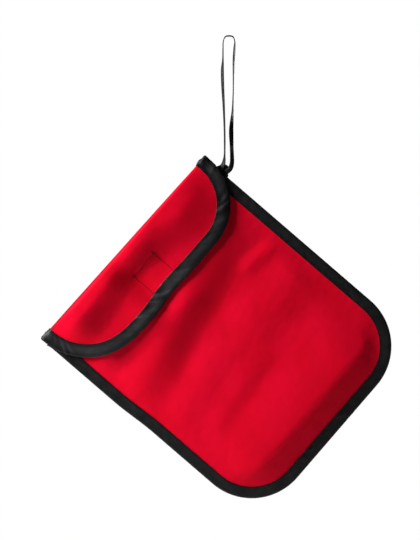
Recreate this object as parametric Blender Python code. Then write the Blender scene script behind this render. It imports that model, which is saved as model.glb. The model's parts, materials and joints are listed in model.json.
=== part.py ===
"""Fire blanket packed in a soft pouch that hangs from a ribbon loop.

World frame: metres, +Z up, -Y towards the viewer. The origin is where a peg touches the
inner top of the hanging loop. The pouch hangs tilted, so its pieces are modelled in a pouch
frame: x along the fold, z up the pouch with the fold at z = 0, y from front (-) to back (+).
"""

import math

import bmesh
import bpy

# Pouch outline, in the pouch frame
POUCH_WIDTH = 0.236
POUCH_LENGTH = 0.277
POUCH_CORNER_RADIUS = 0.058
HALF_WIDTH = POUCH_WIDTH / 2

# Cloth, tape and the gaps that keep touching layers apart
CLOTH = 0.0005
TAPE = 0.0005
GAP = 0.0003
THREAD = 0.0003
THREAD_HALF_WIDTH = 0.00025

# How the packed pouch bulges: flat edge, a ramp, then a flat middle
EDGE_HALF_GAP = 0.00015
BULGE_HALF = 0.0066
BULGE_RAMP = 0.034
BINDING_WIDTH = 0.010
PANEL_INSET = 0.0012

# Fold along the top: a roll of the back panel's cloth, and the flap's hinge at its centre
FOLD_AXIS_Z = -0.004
FOLD_INNER_RADIUS = 0.0029
FOLD_BLEND_LENGTH = 0.026
FOLD_BLEND_LENGTH_AT_SIDES = 0.009

# Flap
FLAP_HALF_WIDTH = 0.120
FLAP_DEPTH = 0.066
FLAP_CORNER_RADIUS_LOOP_SIDE = 0.058
FLAP_CORNER_RADIUS_FAR_SIDE = 0.064
FLAP_BINDING_WIDTH = 0.012
FLAP_BINDING_TOP = -0.0072
FLAP_LIFT = 0.0035
FLAP_START_Y = 0.0039
FLAP_BLEND_LENGTH = 0.018
FLAP_BINDING_GAP = 0.0007

# Mouth of the pouch, under the flap
MOUTH_Z = -0.0155
MOUTH_BINDING_WIDTH = 0.008
MOUTH_BINDING_HALF_LENGTH = 0.099
SIDE_BINDING_TOP = -0.014

# Hook and loop patches, centred under the flap
PATCH_THICKNESS = 0.0008
HOOK_HALF_WIDTH = 0.015
HOOK_TOP = -0.027
HOOK_BOTTOM = -0.053
LOOP_PATCH_HALF_WIDTH = 0.018
LOOP_PATCH_TOP = -0.024
LOOP_PATCH_BOTTOM = -0.056
PATCH_STITCH_INSET = 0.0013

# Folded blanket and its two pull tabs
BLANKET_HALF_WIDTH = 0.090
BLANKET_TOP = -0.019
BLANKET_BOTTOM = -0.244
BLANKET_CORNER_RADIUS = 0.025
BLANKET_SIDE_SHIFT = -0.0044
BLANKET_CLEARANCE = 0.0008
BLANKET_FREE_PLAY = 0.008
TAB_X = 0.055
TAB_HALF_WIDTH = 0.0125
TAB_TOP = -0.014
TAB_BOTTOM = -0.062
TAB_THICKNESS = 0.0012
TAB_RECESS = 0.0010
TAB_TOP_Y = 0.0032
TAB_BEND_LENGTH = 0.010
TAB_STITCH_TOP = -0.046

# Hanging: where the pouch frame sits, and the ribbon loop
HANG_ANGLE = math.radians(-49.25)
FOLD_CENTRE = (-0.1046, 0.0, -0.2077)
SWING_X = 0.1205
SWING_Z = -0.0247
RIBBON_WIDTH = 0.005
RIBBON_THICKNESS = 0.0007
LOOP_TOP_INNER_RADIUS = 0.0046
LOOP_BASE_INNER_RADIUS = 0.00125
LOOP_END_LENGTH = 0.0073
LOOP_END_HALF_HEIGHT = 0.0055

# Insets from a panel's side edge at which its grid has columns, close on the ramp
COLUMN_INSETS = (0.0, 0.009, 0.015, 0.021, 0.027, 0.033, 0.039, 0.046, 0.080)


def clear_scene():
    for thing in list(bpy.data.objects):
        bpy.data.objects.remove(thing)


def make_material(name, colour, roughness):
    material = bpy.data.materials.new(name)
    material.use_nodes = True
    shader = material.node_tree.nodes["Principled BSDF"]
    shader.inputs["Base Color"].default_value = (*colour, 1.0)
    shader.inputs["Roughness"].default_value = roughness
    shader.inputs["Metallic"].default_value = 0.0
    return material


def ease(t):
    """0 to 1, level at both ends."""
    t = min(max(t, 0.0), 1.0)
    return t * t * (3.0 - 2.0 * t)


def mix(a, b, t):
    return a + (b - a) * t


def edge_distance(x, z):
    """Distance in from the pouch's sides and rounded bottom."""
    across = abs(x) - (HALF_WIDTH - POUCH_CORNER_RADIUS)
    down = -z - (POUCH_LENGTH - POUCH_CORNER_RADIUS)
    if across > 0 and down > 0:
        return POUCH_CORNER_RADIUS - math.hypot(across, down)
    return min(HALF_WIDTH - abs(x), POUCH_LENGTH + z)


def bulge_share(x, z):
    """0 at the flat edge, 1 over the flat middle."""
    return ease((edge_distance(x, z) - BINDING_WIDTH) / BULGE_RAMP)


def bulge(x, z):
    """Half the thickness of the packed space at a point of the pouch."""
    return mix(EDGE_HALF_GAP, BULGE_HALF, bulge_share(x, z))


def back_inner(x, z):
    """Inner face of the back panel, which meets the fold's radius at the top."""
    length = mix(FOLD_BLEND_LENGTH_AT_SIDES, FOLD_BLEND_LENGTH, bulge_share(x, z))
    return mix(FOLD_INNER_RADIUS, bulge(x, z), ease((FOLD_AXIS_Z - z) / length))


def front_inner(x, z):
    return -bulge(x, z)


def front_outer(x, z):
    return front_inner(x, z) - CLOTH


def flap_inner(x, z):
    """Inner face of the closed flap, lying over the front panel."""
    lifted = FLAP_LIFT + bulge(x, z)
    return -mix(FLAP_START_Y, lifted, ease((FOLD_AXIS_Z - z) / FLAP_BLEND_LENGTH))


def flap_outer(x, z):
    return flap_inner(x, z) - CLOTH


def shifted(face, offset):
    """The face moved by offset along y."""
    return lambda x, z: face(x, z) + offset


def side_x(z, half_width, bottom, radius):
    """Half width at height z of an outline whose bottom corner is rounded."""
    rise = z - bottom
    if rise >= radius:
        return half_width
    return half_width - radius + math.sqrt(max(radius**2 - (radius - rise) ** 2, 0.0))


def column_fractions(width):
    near = [inset / width for inset in COLUMN_INSETS]
    return near + [0.5] + [1.0 - fraction for fraction in reversed(near)]


def corner_heights(bottom, radius, count):
    """Heights down a rounded corner, at equal angles, ending at the bottom."""
    angles = [math.pi / 2 * step / count for step in range(count + 1)]
    return [bottom + radius * (1.0 - math.sin(angle)) for angle in angles]


def outline_rows(heights, half_width, bottom, radii, centre_x=0.0):
    """One row of (x, z) points at each height; radii are the left and right corners'."""
    rows = []
    for z in heights:
        left = -side_x(z, half_width, bottom, radii[0])
        right = side_x(z, half_width, bottom, radii[1])
        fractions = column_fractions(2 * half_width)
        rows.append([(centre_x + mix(left, right, t), z) for t in fractions])
    return rows


def add_object(name, mesh_edit, material, parent, offset=(0.0, 0.0, 0.0)):
    mesh = bpy.data.meshes.new(name)
    bmesh.ops.recalc_face_normals(mesh_edit, faces=mesh_edit.faces)
    mesh_edit.to_mesh(mesh)
    mesh_edit.free()
    mesh.materials.append(material)
    mesh.shade_smooth()
    mesh.set_sharp_from_angle(angle=math.radians(40))
    thing = bpy.data.objects.new(name, mesh)
    bpy.context.scene.collection.objects.link(thing)
    thing.parent = parent
    thing.location = offset
    return thing


def join_rings(edit, rings, closed):
    """Faces between neighbouring rings of vertices, with end caps where it isn't closed."""
    pairs = list(zip(rings, rings[1:]))
    if closed:
        pairs.append((rings[-1], rings[0]))
    for first, second in pairs:
        for i in range(len(first)):
            j = (i + 1) % len(first)
            edit.faces.new((first[i], first[j], second[j], second[i]))
    if not closed:
        edit.faces.new(rings[0])
        edit.faces.new(rings[-1])


def sheet_between(inner_rows, outer_rows):
    """Closed sheet between two grids of points of the same size."""
    edit = bmesh.new()
    rings = []
    for inner, outer in zip(inner_rows, outer_rows):
        rings.append([edit.verts.new(p) for p in inner + outer[::-1]])
    for first, second in zip(rings, rings[1:]):
        for i in range(len(first)):
            j = (i + 1) % len(first)
            edit.faces.new((first[i], first[j], second[j], second[i]))
    for ring in (rings[0], rings[-1]):
        last = len(ring) - 1
        for i in range(len(ring) // 2 - 1):
            edit.faces.new((ring[i], ring[i + 1], ring[last - i - 1], ring[last - i]))
    return edit


def sheet(rows, inner, outer):
    """Closed sheet over rows of (x, z) points, between two faces given as functions."""
    inner_rows = [[(x, inner(x, z), z) for x, z in row] for row in rows]
    outer_rows = [[(x, outer(x, z), z) for x, z in row] for row in rows]
    return sheet_between(inner_rows, outer_rows)


def path_normals(path, closed):
    """Unit normals in the x-z plane, to the left of the path's direction."""
    normals = []
    count = len(path)
    for i in range(count):
        before = path[i - 1] if closed or i > 0 else path[i]
        after = path[(i + 1) % count] if closed or i < count - 1 else path[i]
        along = (after[0] - before[0], after[1] - before[1])
        length = math.hypot(*along)
        normals.append((-along[1] / length, along[0] / length))
    return normals


def strip(path, half_width, low, high, closed=False):
    """Flat strip along a path, between two faces given as functions."""
    edit = bmesh.new()
    rings = []
    for (x, z), (nx, nz) in zip(path, path_normals(path, closed)):
        left = (x + nx * half_width, z + nz * half_width)
        right = (x - nx * half_width, z - nz * half_width)
        corners = [(left, low), (left, high), (right, high), (right, low)]
        rings.append([edit.verts.new((p[0], face(*p), p[1])) for p, face in corners])
    join_rings(edit, rings, closed)
    return edit


def channel(path, inward, width, centre, half_gap, samples):
    """Folded tape: a U section whose open side points inward from the path."""
    edit = bmesh.new()
    outside = [width * i / samples for i in range(samples + 1)]
    inside = [mix(width, TAPE, i / samples) for i in range(samples + 1)]
    section = [(q, -(half_gap + TAPE)) for q in outside]
    section += [(q, -half_gap) for q in inside]
    section += [(q, half_gap) for q in reversed(inside)]
    section += [(q, half_gap + TAPE) for q in reversed(outside)]
    rings = []
    for (px, pz), (nx, nz) in zip(path, inward):
        ring = []
        for q, offset in section:
            x, z = px + nx * q, pz + nz * q
            ring.append(edit.verts.new((x, centre(x, z) + offset, z)))
        rings.append(ring)
    join_rings(edit, rings, closed=False)
    return edit


def arc(centre, radius, start, end, count):
    """Points on a circle, angles in degrees from +x towards +z."""
    points = []
    for step in range(count + 1):
        angle = math.radians(mix(start, end, step / count))
        points.append((centre[0] + radius * math.cos(angle), centre[1] + radius * math.sin(angle)))
    return points


def u_outline(half_width, top, bottom, radii, inset, steps):
    """Path down the right side, round the bottom and up the left, with inward normals."""
    right_radius, left_radius = radii
    right_centre = (half_width - right_radius, bottom + right_radius)
    left_centre = (-half_width + left_radius, bottom + left_radius)
    path = [(half_width - inset, top)]
    path += arc(right_centre, right_radius - inset, 0, -90, steps)
    path += arc(left_centre, left_radius - inset, -90, -180, steps)
    path.append((-half_width + inset, top))
    inward = [(-1.0, 0.0)]
    inward += [(-x, -z) for x, z in arc((0, 0), 1.0, 0, -90, steps)]
    inward += [(-x, -z) for x, z in arc((0, 0), 1.0, -90, -180, steps)]
    inward.append((1.0, 0.0))
    return path, inward


def rectangle(half_width, top, bottom, centre_x=0.0):
    """Closed path round a rectangle, with its corners cut small so that a strip turns cleanly."""
    cut = 0.001
    left, right = centre_x - half_width, centre_x + half_width
    return [
        (left + cut, top), (right - cut, top), (right, top - cut), (right, bottom + cut),
        (right - cut, bottom), (left + cut, bottom), (left, bottom + cut), (left, top - cut),
    ]


def make_frames():
    """Empties on the joint axes: the pouch's swing, its own frame, the fold and the blanket."""
    def empty(name, parent, location):
        thing = bpy.data.objects.new(name, None)
        bpy.context.scene.collection.objects.link(thing)
        thing.parent = parent
        thing.location = location
        return thing

    cos, sin = math.cos(HANG_ANGLE), math.sin(HANG_ANGLE)
    swing_world = (
        FOLD_CENTRE[0] + cos * SWING_X + sin * SWING_Z,
        0.0,
        FOLD_CENTRE[2] - sin * SWING_X + cos * SWING_Z,
    )
    swing = empty("pouch_swing_axis", None, swing_world)
    swing.rotation_euler = (0.0, HANG_ANGLE, 0.0)
    pouch = empty("pouch_frame", swing, (-SWING_X, 0.0, -SWING_Z))
    fold = empty("flap_fold_axis", pouch, (0.0, 0.0, FOLD_AXIS_Z))
    flap = empty("flap_frame", fold, (0.0, 0.0, -FOLD_AXIS_Z))
    blanket = empty("blanket_frame", pouch, (BLANKET_SIDE_SHIFT, 0.0, 0.0))
    return swing_world, pouch, flap, blanket


def build_panels(frame, red):
    bottom = -POUCH_LENGTH + PANEL_INSET
    radius = POUCH_CORNER_RADIUS - PANEL_INSET
    half_width = HALF_WIDTH - PANEL_INSET
    lower = [-0.120, -0.200] + corner_heights(bottom, radius, 10)

    back_heights = [FOLD_AXIS_Z, -0.009, -0.014, -0.020, -0.025, -0.030, -0.070] + lower
    rows = outline_rows(back_heights, half_width, bottom, (radius, radius))
    inner_rows = [[(x, back_inner(x, z), z) for x, z in row] for row in rows]
    outer_rows = [[(x, back_inner(x, z) + CLOTH, z) for x, z in row] for row in rows]
    roll_inner, roll_outer = [], []
    for y, z in arc((0.0, FOLD_AXIS_Z), 1.0, 180, 0, 10)[:-1]:
        reach = (y, z - FOLD_AXIS_Z)
        for radius_now, kept in (
            (FOLD_INNER_RADIUS, roll_inner),
            (FOLD_INNER_RADIUS + CLOTH, roll_outer),
        ):
            height = FOLD_AXIS_Z + reach[1] * radius_now
            kept.append([(x, reach[0] * radius_now, height) for x, _ in rows[0]])
    edit = sheet_between(roll_inner + inner_rows, roll_outer + outer_rows)
    add_object("back_panel", edit, red, frame)

    front_heights = [MOUTH_Z - TAPE - GAP, -0.070] + lower
    rows = outline_rows(front_heights, half_width, bottom, (radius, radius))
    add_object("front_panel", sheet(rows, front_inner, front_outer), red, frame)


def build_pouch_binding(frame, black, thread):
    radii = (POUCH_CORNER_RADIUS, POUCH_CORNER_RADIUS)
    half_gap = EDGE_HALF_GAP + CLOTH + GAP
    path, inward = u_outline(HALF_WIDTH, SIDE_BINDING_TOP, -POUCH_LENGTH, radii, 0.0, 12)
    edit = channel(path, inward, BINDING_WIDTH, lambda x, z: 0.0, half_gap, 1)
    add_object("pouch_binding", edit, black, frame)

    seam_inset = BINDING_WIDTH - 0.0014
    path, _ = u_outline(HALF_WIDTH, SIDE_BINDING_TOP, -POUCH_LENGTH, radii, seam_inset, 12)
    near = half_gap + TAPE + GAP
    far = near + THREAD
    for name, side in (("pouch_binding_needle_thread", -1), ("pouch_binding_bobbin_thread", 1)):
        low = shifted(lambda x, z: 0.0, side * near)
        high = shifted(lambda x, z: 0.0, side * far)
        add_object(name, strip(path, THREAD_HALF_WIDTH, low, high), thread, frame)


def build_mouth(frame, black, thread):
    width = 2 * (HALF_WIDTH - PANEL_INSET)
    columns = [mix(width / 2, -width / 2, t) for t in column_fractions(width)]
    inner_columns = [x for x in columns if abs(x) < MOUTH_BINDING_HALF_LENGTH]
    ends = [MOUTH_BINDING_HALF_LENGTH, -MOUTH_BINDING_HALF_LENGTH]
    xs = [ends[0]] + inner_columns + [ends[1]]
    path = [(x, MOUTH_Z) for x in xs]
    inward = [(0.0, -1.0)] * len(path)
    centre = shifted(front_inner, -CLOTH / 2)
    half_gap = CLOTH / 2 + GAP
    edit = channel(path, inward, MOUTH_BINDING_WIDTH, centre, half_gap, 1)
    add_object("mouth_binding", edit, black, frame)

    seam_z = MOUTH_Z - MOUTH_BINDING_WIDTH + 0.0014
    low = shifted(centre, -(half_gap + TAPE + GAP))
    high = shifted(low, -THREAD)
    edit = strip([(x, seam_z) for x in xs], THREAD_HALF_WIDTH, low, high)
    add_object("mouth_binding_thread", edit, thread, frame)


def patch_rows(half_width, top, bottom, centre_x=0.0, levels=2):
    heights = [mix(top, bottom, i / (levels - 1)) for i in range(levels)]
    xs = (centre_x - half_width, centre_x, centre_x + half_width)
    return [[(x, z) for x in xs] for z in heights]


def build_loop_patch(frame, black, thread):
    near = shifted(front_outer, -GAP)
    far = shifted(near, -PATCH_THICKNESS)
    rows = patch_rows(LOOP_PATCH_HALF_WIDTH, LOOP_PATCH_TOP, LOOP_PATCH_BOTTOM)
    add_object("loop_patch", sheet(rows, near, far), black, frame)

    path = rectangle(
        LOOP_PATCH_HALF_WIDTH - PATCH_STITCH_INSET,
        LOOP_PATCH_TOP - PATCH_STITCH_INSET,
        LOOP_PATCH_BOTTOM + PATCH_STITCH_INSET,
    )
    low = shifted(far, -GAP)
    edit = strip(path, THREAD_HALF_WIDTH, low, shifted(low, -THREAD), closed=True)
    add_object("loop_patch_thread", edit, thread, frame)


def build_flap(frame, red, black, thread, dark_thread):
    inset = TAPE + FLAP_BINDING_GAP
    bottom = -FLAP_DEPTH
    far_side = FLAP_CORNER_RADIUS_FAR_SIDE
    loop_side = FLAP_CORNER_RADIUS_LOOP_SIDE
    corner_levels = corner_heights(bottom + inset, far_side - inset, 9)
    heights = [FOLD_AXIS_Z, -0.007, -0.010, -0.014, -0.018, -0.022]
    heights += [z for z in corner_levels if z < heights[-1] - 0.002]
    rows = outline_rows(
        heights, FLAP_HALF_WIDTH - inset, bottom + inset, (far_side - inset, loop_side - inset)
    )
    add_object("flap_panel", sheet(rows, flap_inner, flap_outer), red, frame)

    radii = (loop_side, far_side)
    path, inward = u_outline(FLAP_HALF_WIDTH, FLAP_BINDING_TOP, bottom, radii, 0.0, 14)
    kept = [i for i, (x, z) in enumerate(path) if z < FLAP_BINDING_TOP - 0.001]
    first, last = kept[0], kept[-1]
    path = [(FLAP_HALF_WIDTH, FLAP_BINDING_TOP)] + path[first : last + 1]
    path.append((-FLAP_HALF_WIDTH, FLAP_BINDING_TOP))
    inward = [(-1.0, 0.0)] + inward[first : last + 1] + [(1.0, 0.0)]
    centre = shifted(flap_inner, -CLOTH / 2)
    half_gap = CLOTH / 2 + FLAP_BINDING_GAP
    edit = channel(path, inward, FLAP_BINDING_WIDTH, centre, half_gap, 3)
    add_object("flap_binding", edit, black, frame)

    seam = FLAP_BINDING_WIDTH - 0.0016
    seam_path = [(x + nx * seam, z + nz * seam) for (x, z), (nx, nz) in zip(path, inward)]
    low = shifted(centre, -(half_gap + TAPE + GAP))
    edit = strip(seam_path, THREAD_HALF_WIDTH, low, shifted(low, -THREAD))
    add_object("flap_binding_thread", edit, thread, frame)

    near = shifted(flap_inner, GAP)
    rows = patch_rows(HOOK_HALF_WIDTH, HOOK_TOP, HOOK_BOTTOM)
    add_object("hook_patch", sheet(rows, shifted(near, PATCH_THICKNESS), near), black, frame)

    path = rectangle(HOOK_HALF_WIDTH, HOOK_TOP, HOOK_BOTTOM)
    low = shifted(flap_outer, -GAP)
    edit = strip(path, THREAD_HALF_WIDTH, low, shifted(low, -THREAD), closed=True)
    add_object("hook_patch_thread", edit, dark_thread, frame)


def room_for_blanket(face, x, z):
    """The space that the blanket has at rest and when it is slid up by its free play."""
    return min(face(x, z), face(x, z + BLANKET_FREE_PLAY))


def blanket_back(x, z):
    return room_for_blanket(back_inner, x + BLANKET_SIDE_SHIFT, z) - BLANKET_CLEARANCE


def tab_outer(x, z):
    """Outer face of a pull tab: against the front panel, then in under the fold."""
    lying = room_for_blanket(bulge, x + BLANKET_SIDE_SHIFT, z) - TAB_RECESS
    return -mix(TAB_TOP_Y, lying, ease((TAB_TOP - z) / TAB_BEND_LENGTH))


def blanket_front(x, z):
    under_tabs = TAB_RECESS + TAB_THICKNESS + GAP
    space = room_for_blanket(bulge, x + BLANKET_SIDE_SHIFT, z) - under_tabs
    fold_end = TAB_TOP_Y - TAB_THICKNESS - GAP
    return -mix(fold_end, space, ease((BLANKET_TOP - z) / TAB_BEND_LENGTH))


def build_blanket(frame, glass_cloth, black, thread):
    corner = BLANKET_CORNER_RADIUS
    heights = [BLANKET_TOP, -0.022, -0.026, -0.031, -0.038, -0.080, -0.140, -0.195]
    heights += corner_heights(BLANKET_BOTTOM, corner, 5)
    rows = outline_rows(heights, BLANKET_HALF_WIDTH, BLANKET_BOTTOM, (corner, corner))
    add_object("blanket", sheet(rows, blanket_back, blanket_front), glass_cloth, frame)

    for side, x in (("left", -TAB_X), ("right", TAB_X)):
        heights = (TAB_TOP, -0.017, -0.019, -0.021, -0.024, TAB_BOTTOM)
        columns = (x - TAB_HALF_WIDTH, x, x + TAB_HALF_WIDTH)
        rows = [[(column, z) for column in columns] for z in heights]
        edit = sheet(rows, shifted(tab_outer, TAB_THICKNESS), tab_outer)
        add_object(f"pull_tab_{side}", edit, black, frame)

        path = rectangle(TAB_HALF_WIDTH - 0.002, TAB_STITCH_TOP, TAB_BOTTOM + 0.002, x)
        low = shifted(tab_outer, -GAP)
        edit = strip(path, THREAD_HALF_WIDTH, low, shifted(low, -THREAD), closed=True)
        add_object(f"pull_tab_thread_{side}", edit, thread, frame)


def loop_path(swing_world):
    """Closed centre line of the ribbon, round the peg at the top and the swing axis below."""
    top = (0.0, -LOOP_TOP_INNER_RADIUS)
    base = (swing_world[0], swing_world[2])
    top_radius = LOOP_TOP_INNER_RADIUS + RIBBON_THICKNESS / 2
    base_radius = LOOP_BASE_INNER_RADIUS + RIBBON_THICKNESS / 2
    rise = (top[0] - base[0], top[1] - base[1])
    up = math.degrees(math.atan2(rise[1], rise[0]))
    turn = math.degrees(math.acos((base_radius - top_radius) / math.hypot(*rise)))
    over_top = arc(top, top_radius, up + turn, up - turn, 14)
    round_base = arc(base, base_radius, up - turn, up + turn - 360, 8)
    right = [tuple(mix(a, b, t) for a, b in zip(over_top[-1], round_base[0])) for t in (0.33, 0.66)]
    left = [tuple(mix(a, b, t) for a, b in zip(round_base[-1], over_top[0])) for t in (0.33, 0.66)]
    return over_top + right + round_base + left


def build_loop(swing_world, frame, black, thread):
    low = lambda x, z: -RIBBON_WIDTH / 2
    high = lambda x, z: RIBBON_WIDTH / 2
    edit = strip(loop_path(swing_world), RIBBON_THICKNESS / 2, low, high, closed=True)
    add_object("hanging_loop", edit, black, None)

    near = EDGE_HALF_GAP + CLOTH + GAP + TAPE + GAP
    far = near + RIBBON_THICKNESS
    end_x = HALF_WIDTH - 0.0002 - LOOP_END_LENGTH / 2
    rows = patch_rows(
        LOOP_END_LENGTH / 2, SWING_Z + LOOP_END_HALF_HEIGHT, SWING_Z - LOOP_END_HALF_HEIGHT, end_x
    )
    edit = sheet(rows, lambda x, z: near, lambda x, z: far)
    add_object("hanging_loop_ends", edit, black, frame)

    tack_half = LOOP_END_HALF_HEIGHT - 0.001
    path = [(end_x, SWING_Z + tack_half), (end_x, SWING_Z - tack_half)]
    tack_low = far + GAP
    edit = strip(path, 0.0008, lambda x, z: tack_low, lambda x, z: tack_low + THREAD)
    add_object("hanging_loop_bar_tack", edit, thread, frame)


def main():
    clear_scene()
    red = make_material("red_nylon", (0.68, 0.004, 0.018), 0.55)
    black = make_material("black_tape", (0.012, 0.012, 0.013), 0.6)
    thread = make_material("black_thread", (0.016, 0.016, 0.017), 0.5)
    dark_red = make_material("dark_red_thread", (0.12, 0.008, 0.012), 0.5)
    glass_cloth = make_material("glass_cloth", (0.72, 0.71, 0.66), 0.8)
    swing_world, pouch, flap, blanket = make_frames()
    build_panels(pouch, red)
    build_pouch_binding(pouch, black, thread)
    build_mouth(pouch, black, thread)
    build_loop_patch(pouch, black, thread)
    build_flap(flap, red, black, thread, dark_red)
    build_blanket(blanket, glass_cloth, black, thread)
    build_loop(swing_world, pouch, black, thread)


main()
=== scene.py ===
"""Looks of a fire blanket in its hanging pouch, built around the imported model.

Sewn pieces are worked out in the pouch's own frame: x along the fold, z up the pouch with the
fold at z = 0, y from front (-) to back (+). Lengths are in metres.
"""

import json
import math

import bmesh
import bpy
import numpy as np
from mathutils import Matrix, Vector, noise
from mathutils.bvhtree import BVHTree


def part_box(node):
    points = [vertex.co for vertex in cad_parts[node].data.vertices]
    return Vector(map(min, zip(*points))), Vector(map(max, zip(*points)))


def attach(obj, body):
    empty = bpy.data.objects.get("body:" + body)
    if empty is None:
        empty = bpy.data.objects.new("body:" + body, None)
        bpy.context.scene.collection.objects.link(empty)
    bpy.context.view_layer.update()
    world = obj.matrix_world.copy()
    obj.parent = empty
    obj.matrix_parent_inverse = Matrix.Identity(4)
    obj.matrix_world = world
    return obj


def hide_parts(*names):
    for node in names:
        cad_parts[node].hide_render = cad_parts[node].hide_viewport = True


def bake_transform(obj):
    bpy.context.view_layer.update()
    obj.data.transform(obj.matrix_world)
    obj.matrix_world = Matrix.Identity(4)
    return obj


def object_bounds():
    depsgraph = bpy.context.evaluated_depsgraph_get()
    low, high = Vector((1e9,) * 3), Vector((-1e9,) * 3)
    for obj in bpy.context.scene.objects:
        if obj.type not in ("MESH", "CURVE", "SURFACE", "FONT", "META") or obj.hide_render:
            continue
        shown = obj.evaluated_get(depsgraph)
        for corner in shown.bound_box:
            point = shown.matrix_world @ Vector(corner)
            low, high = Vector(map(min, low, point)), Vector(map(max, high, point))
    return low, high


# The pouch's frame: the fold's axis lies a little under the top of the fold
FOLD_AXIS_Z = -0.004
CORNER_RADIUS = 0.058

# Cloth and tape
CLOTH = 0.0005
TAPE = 0.0005
EASE_GAP = 0.0001
EDGE_HALF_GAP = 0.00015
SIDE_TAPE_WIDTH = 0.0105
FLAP_TAPE_WIDTH = 0.0125
MOUTH_TAPE_WIDTH = 0.008
SIDE_TAPE_TOP = -0.006
SEAM_INSET = 0.0016

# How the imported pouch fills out: its greatest rise, the room over the pull tabs, and where the
# rise starts in from the edge
FRONT_RISE = 0.0056
BACK_RISE = 0.0080
TAB_ROOM = 0.0022
FILL_START = 0.009
FILL_HALF_WIDTH = 0.112
BOTTOM_RAMP = 0.030

# Roll of cloth over the fold
ROLL_BACK_RADIUS = 0.0034
ROLL_FRONT_RADIUS = 0.0044
ROLL_LENGTH = 0.0150
ROLL_HEIGHT = 0.0039
FOLD_TILT = 0.020
ROLL_SQUARENESS = 0.66
PACKED_BACK_RADIUS = 0.0072

# Flap
FLAP_GAP_MIDDLE = 0.0022
FLAP_GAP_SIDES = 0.0024
FLAP_RUN_OUT = 0.009
FLAP_CORNER_LOOP_SIDE = 0.058
FLAP_CORNER_FAR_SIDE = 0.064
FLAP_INSET = 0.0016
FLAP_ROW_STEP = 0.0012

# Folds of the front panel: ends of the crest, bow, height, width above and below, fade at the ends
FRONT_FOLDS = (
    ((-0.138, -0.116), (0.124, -0.058), 0.006, 0.0056, 0.042, 0.035, 0.120),
    ((-0.122, -0.050), (-0.010, -0.070), 0.000, 0.0032, 0.040, 0.024, 0.030),
    ((-0.125, -0.156), (0.125, -0.142), 0.000, 0.0014, 0.040, 0.042, 0.040),
    ((-0.118, -0.238), (0.104, -0.241), 0.000, 0.0034, 0.072, 0.032, 0.050),
    ((0.048, -0.104), (0.114, -0.116), 0.003, 0.0013, 0.012, 0.014, 0.022),
    ((-0.100, -0.190), (0.030, -0.172), 0.002, 0.0009, 0.020, 0.016, 0.040),
)
BACK_FOLDS = (
    ((-0.110, -0.090), (0.105, -0.120), 0.006, 0.0016, 0.030, 0.030),
    ((-0.100, -0.200), (0.110, -0.185), -0.004, 0.0014, 0.030, 0.034),
)

# Swells of the flap below the fold: middle along the fold, height, half width
FLAP_SWELLS = ((-0.080, 0.0030, 0.034), (-0.040, 0.0014, 0.034), (0.013, 0.0027, 0.034))
FLAP_FALL = 0.0043

# Seams: cloth ends inside the tape, tape has room round the flap, thread lies on the tape
PANEL_INSET = 0.0014
FLAP_TAPE_FRONT_ROOM = 0.0001
FLAP_TAPE_BACK_ROOM = 0.0006
THREAD_LIFT = 0.00018

# Grid steps of the sewn cloth
CLOTH_STEP = 0.002
TAPE_STEP = 0.0015

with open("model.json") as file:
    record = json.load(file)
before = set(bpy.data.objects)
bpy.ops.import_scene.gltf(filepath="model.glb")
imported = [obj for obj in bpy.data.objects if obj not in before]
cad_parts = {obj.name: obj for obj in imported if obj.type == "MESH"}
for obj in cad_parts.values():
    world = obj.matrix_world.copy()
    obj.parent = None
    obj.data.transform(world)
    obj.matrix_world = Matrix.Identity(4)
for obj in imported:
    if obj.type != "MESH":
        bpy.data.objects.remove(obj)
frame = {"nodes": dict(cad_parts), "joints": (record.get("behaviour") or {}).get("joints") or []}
CAD_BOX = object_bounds()


# ---------------------------------------------------------------- frame and points

JOINTS = {joint["name"]: joint for joint in frame["joints"]}
ACROSS = -np.array(JOINTS["flap_fold"]["axis"], float)
ALONG = np.array(JOINTS["blanket_slide"]["axis"], float)
THROUGH = np.array((0.0, 1.0, 0.0))
ORIGIN = np.array(JOINTS["flap_fold"]["pos_m"], float) - FOLD_AXIS_Z * ALONG


def to_world(points):
    """Points of the pouch's frame, as (..., 3), in the shared frame."""
    points = np.asarray(points, float)
    x, y, z = points[..., 0:1], points[..., 1:2], points[..., 2:3]
    return ORIGIN + x * ACROSS + y * THROUGH + z * ALONG


def to_pouch(points):
    """Points of the shared frame in the pouch's frame."""
    away = np.asarray(points, float) - ORIGIN
    return np.stack([away @ ACROSS, away @ THROUGH, away @ ALONG], -1)


def node_points(node):
    """Points of a CAD node in the pouch's frame."""
    return to_pouch([v.co for v in frame["nodes"][node].data.vertices])


def node_box(node):
    """Lowest and highest corner of a CAD node in the pouch's frame."""
    points = node_points(node)
    return points.min(0), points.max(0)


SIDE_LOW, SIDE_HIGH = node_box("pouch_binding")
HALF_WIDTH = SIDE_HIGH[0]
BOTTOM = SIDE_LOW[2]
FLAP_LOW, FLAP_HIGH = node_box("flap_binding")
FLAP_HALF = FLAP_HIGH[0]
FLAP_BOTTOM = FLAP_LOW[2]
MOUTH_HIGH = node_box("mouth_binding")[1]
MOUTH_Z = MOUTH_HIGH[2]


def ease(t):
    """Smooth step from 0 to 1."""
    t = np.clip(t, 0.0, 1.0)
    return t * t * (3.0 - 2.0 * t)


def mix(a, b, t):
    return a + (b - a) * t


def unit(vectors):
    """Vectors scaled to length 1."""
    return vectors / np.linalg.norm(vectors, axis=-1, keepdims=True)


def bump(distance, width):
    """1 at no distance, easing to 0 at the width."""
    return ease(1.0 - np.abs(distance) / width)


def ripple(x, z, scale, seed):
    """Smooth noise from -1 to 1 over arrays of positions."""
    flat = [noise.noise((a / scale, b / scale, seed)) for a, b in zip(np.ravel(x), np.ravel(z))]
    return np.reshape(flat, np.shape(x))


# ---------------------------------------------------------------- mesh helpers


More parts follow.
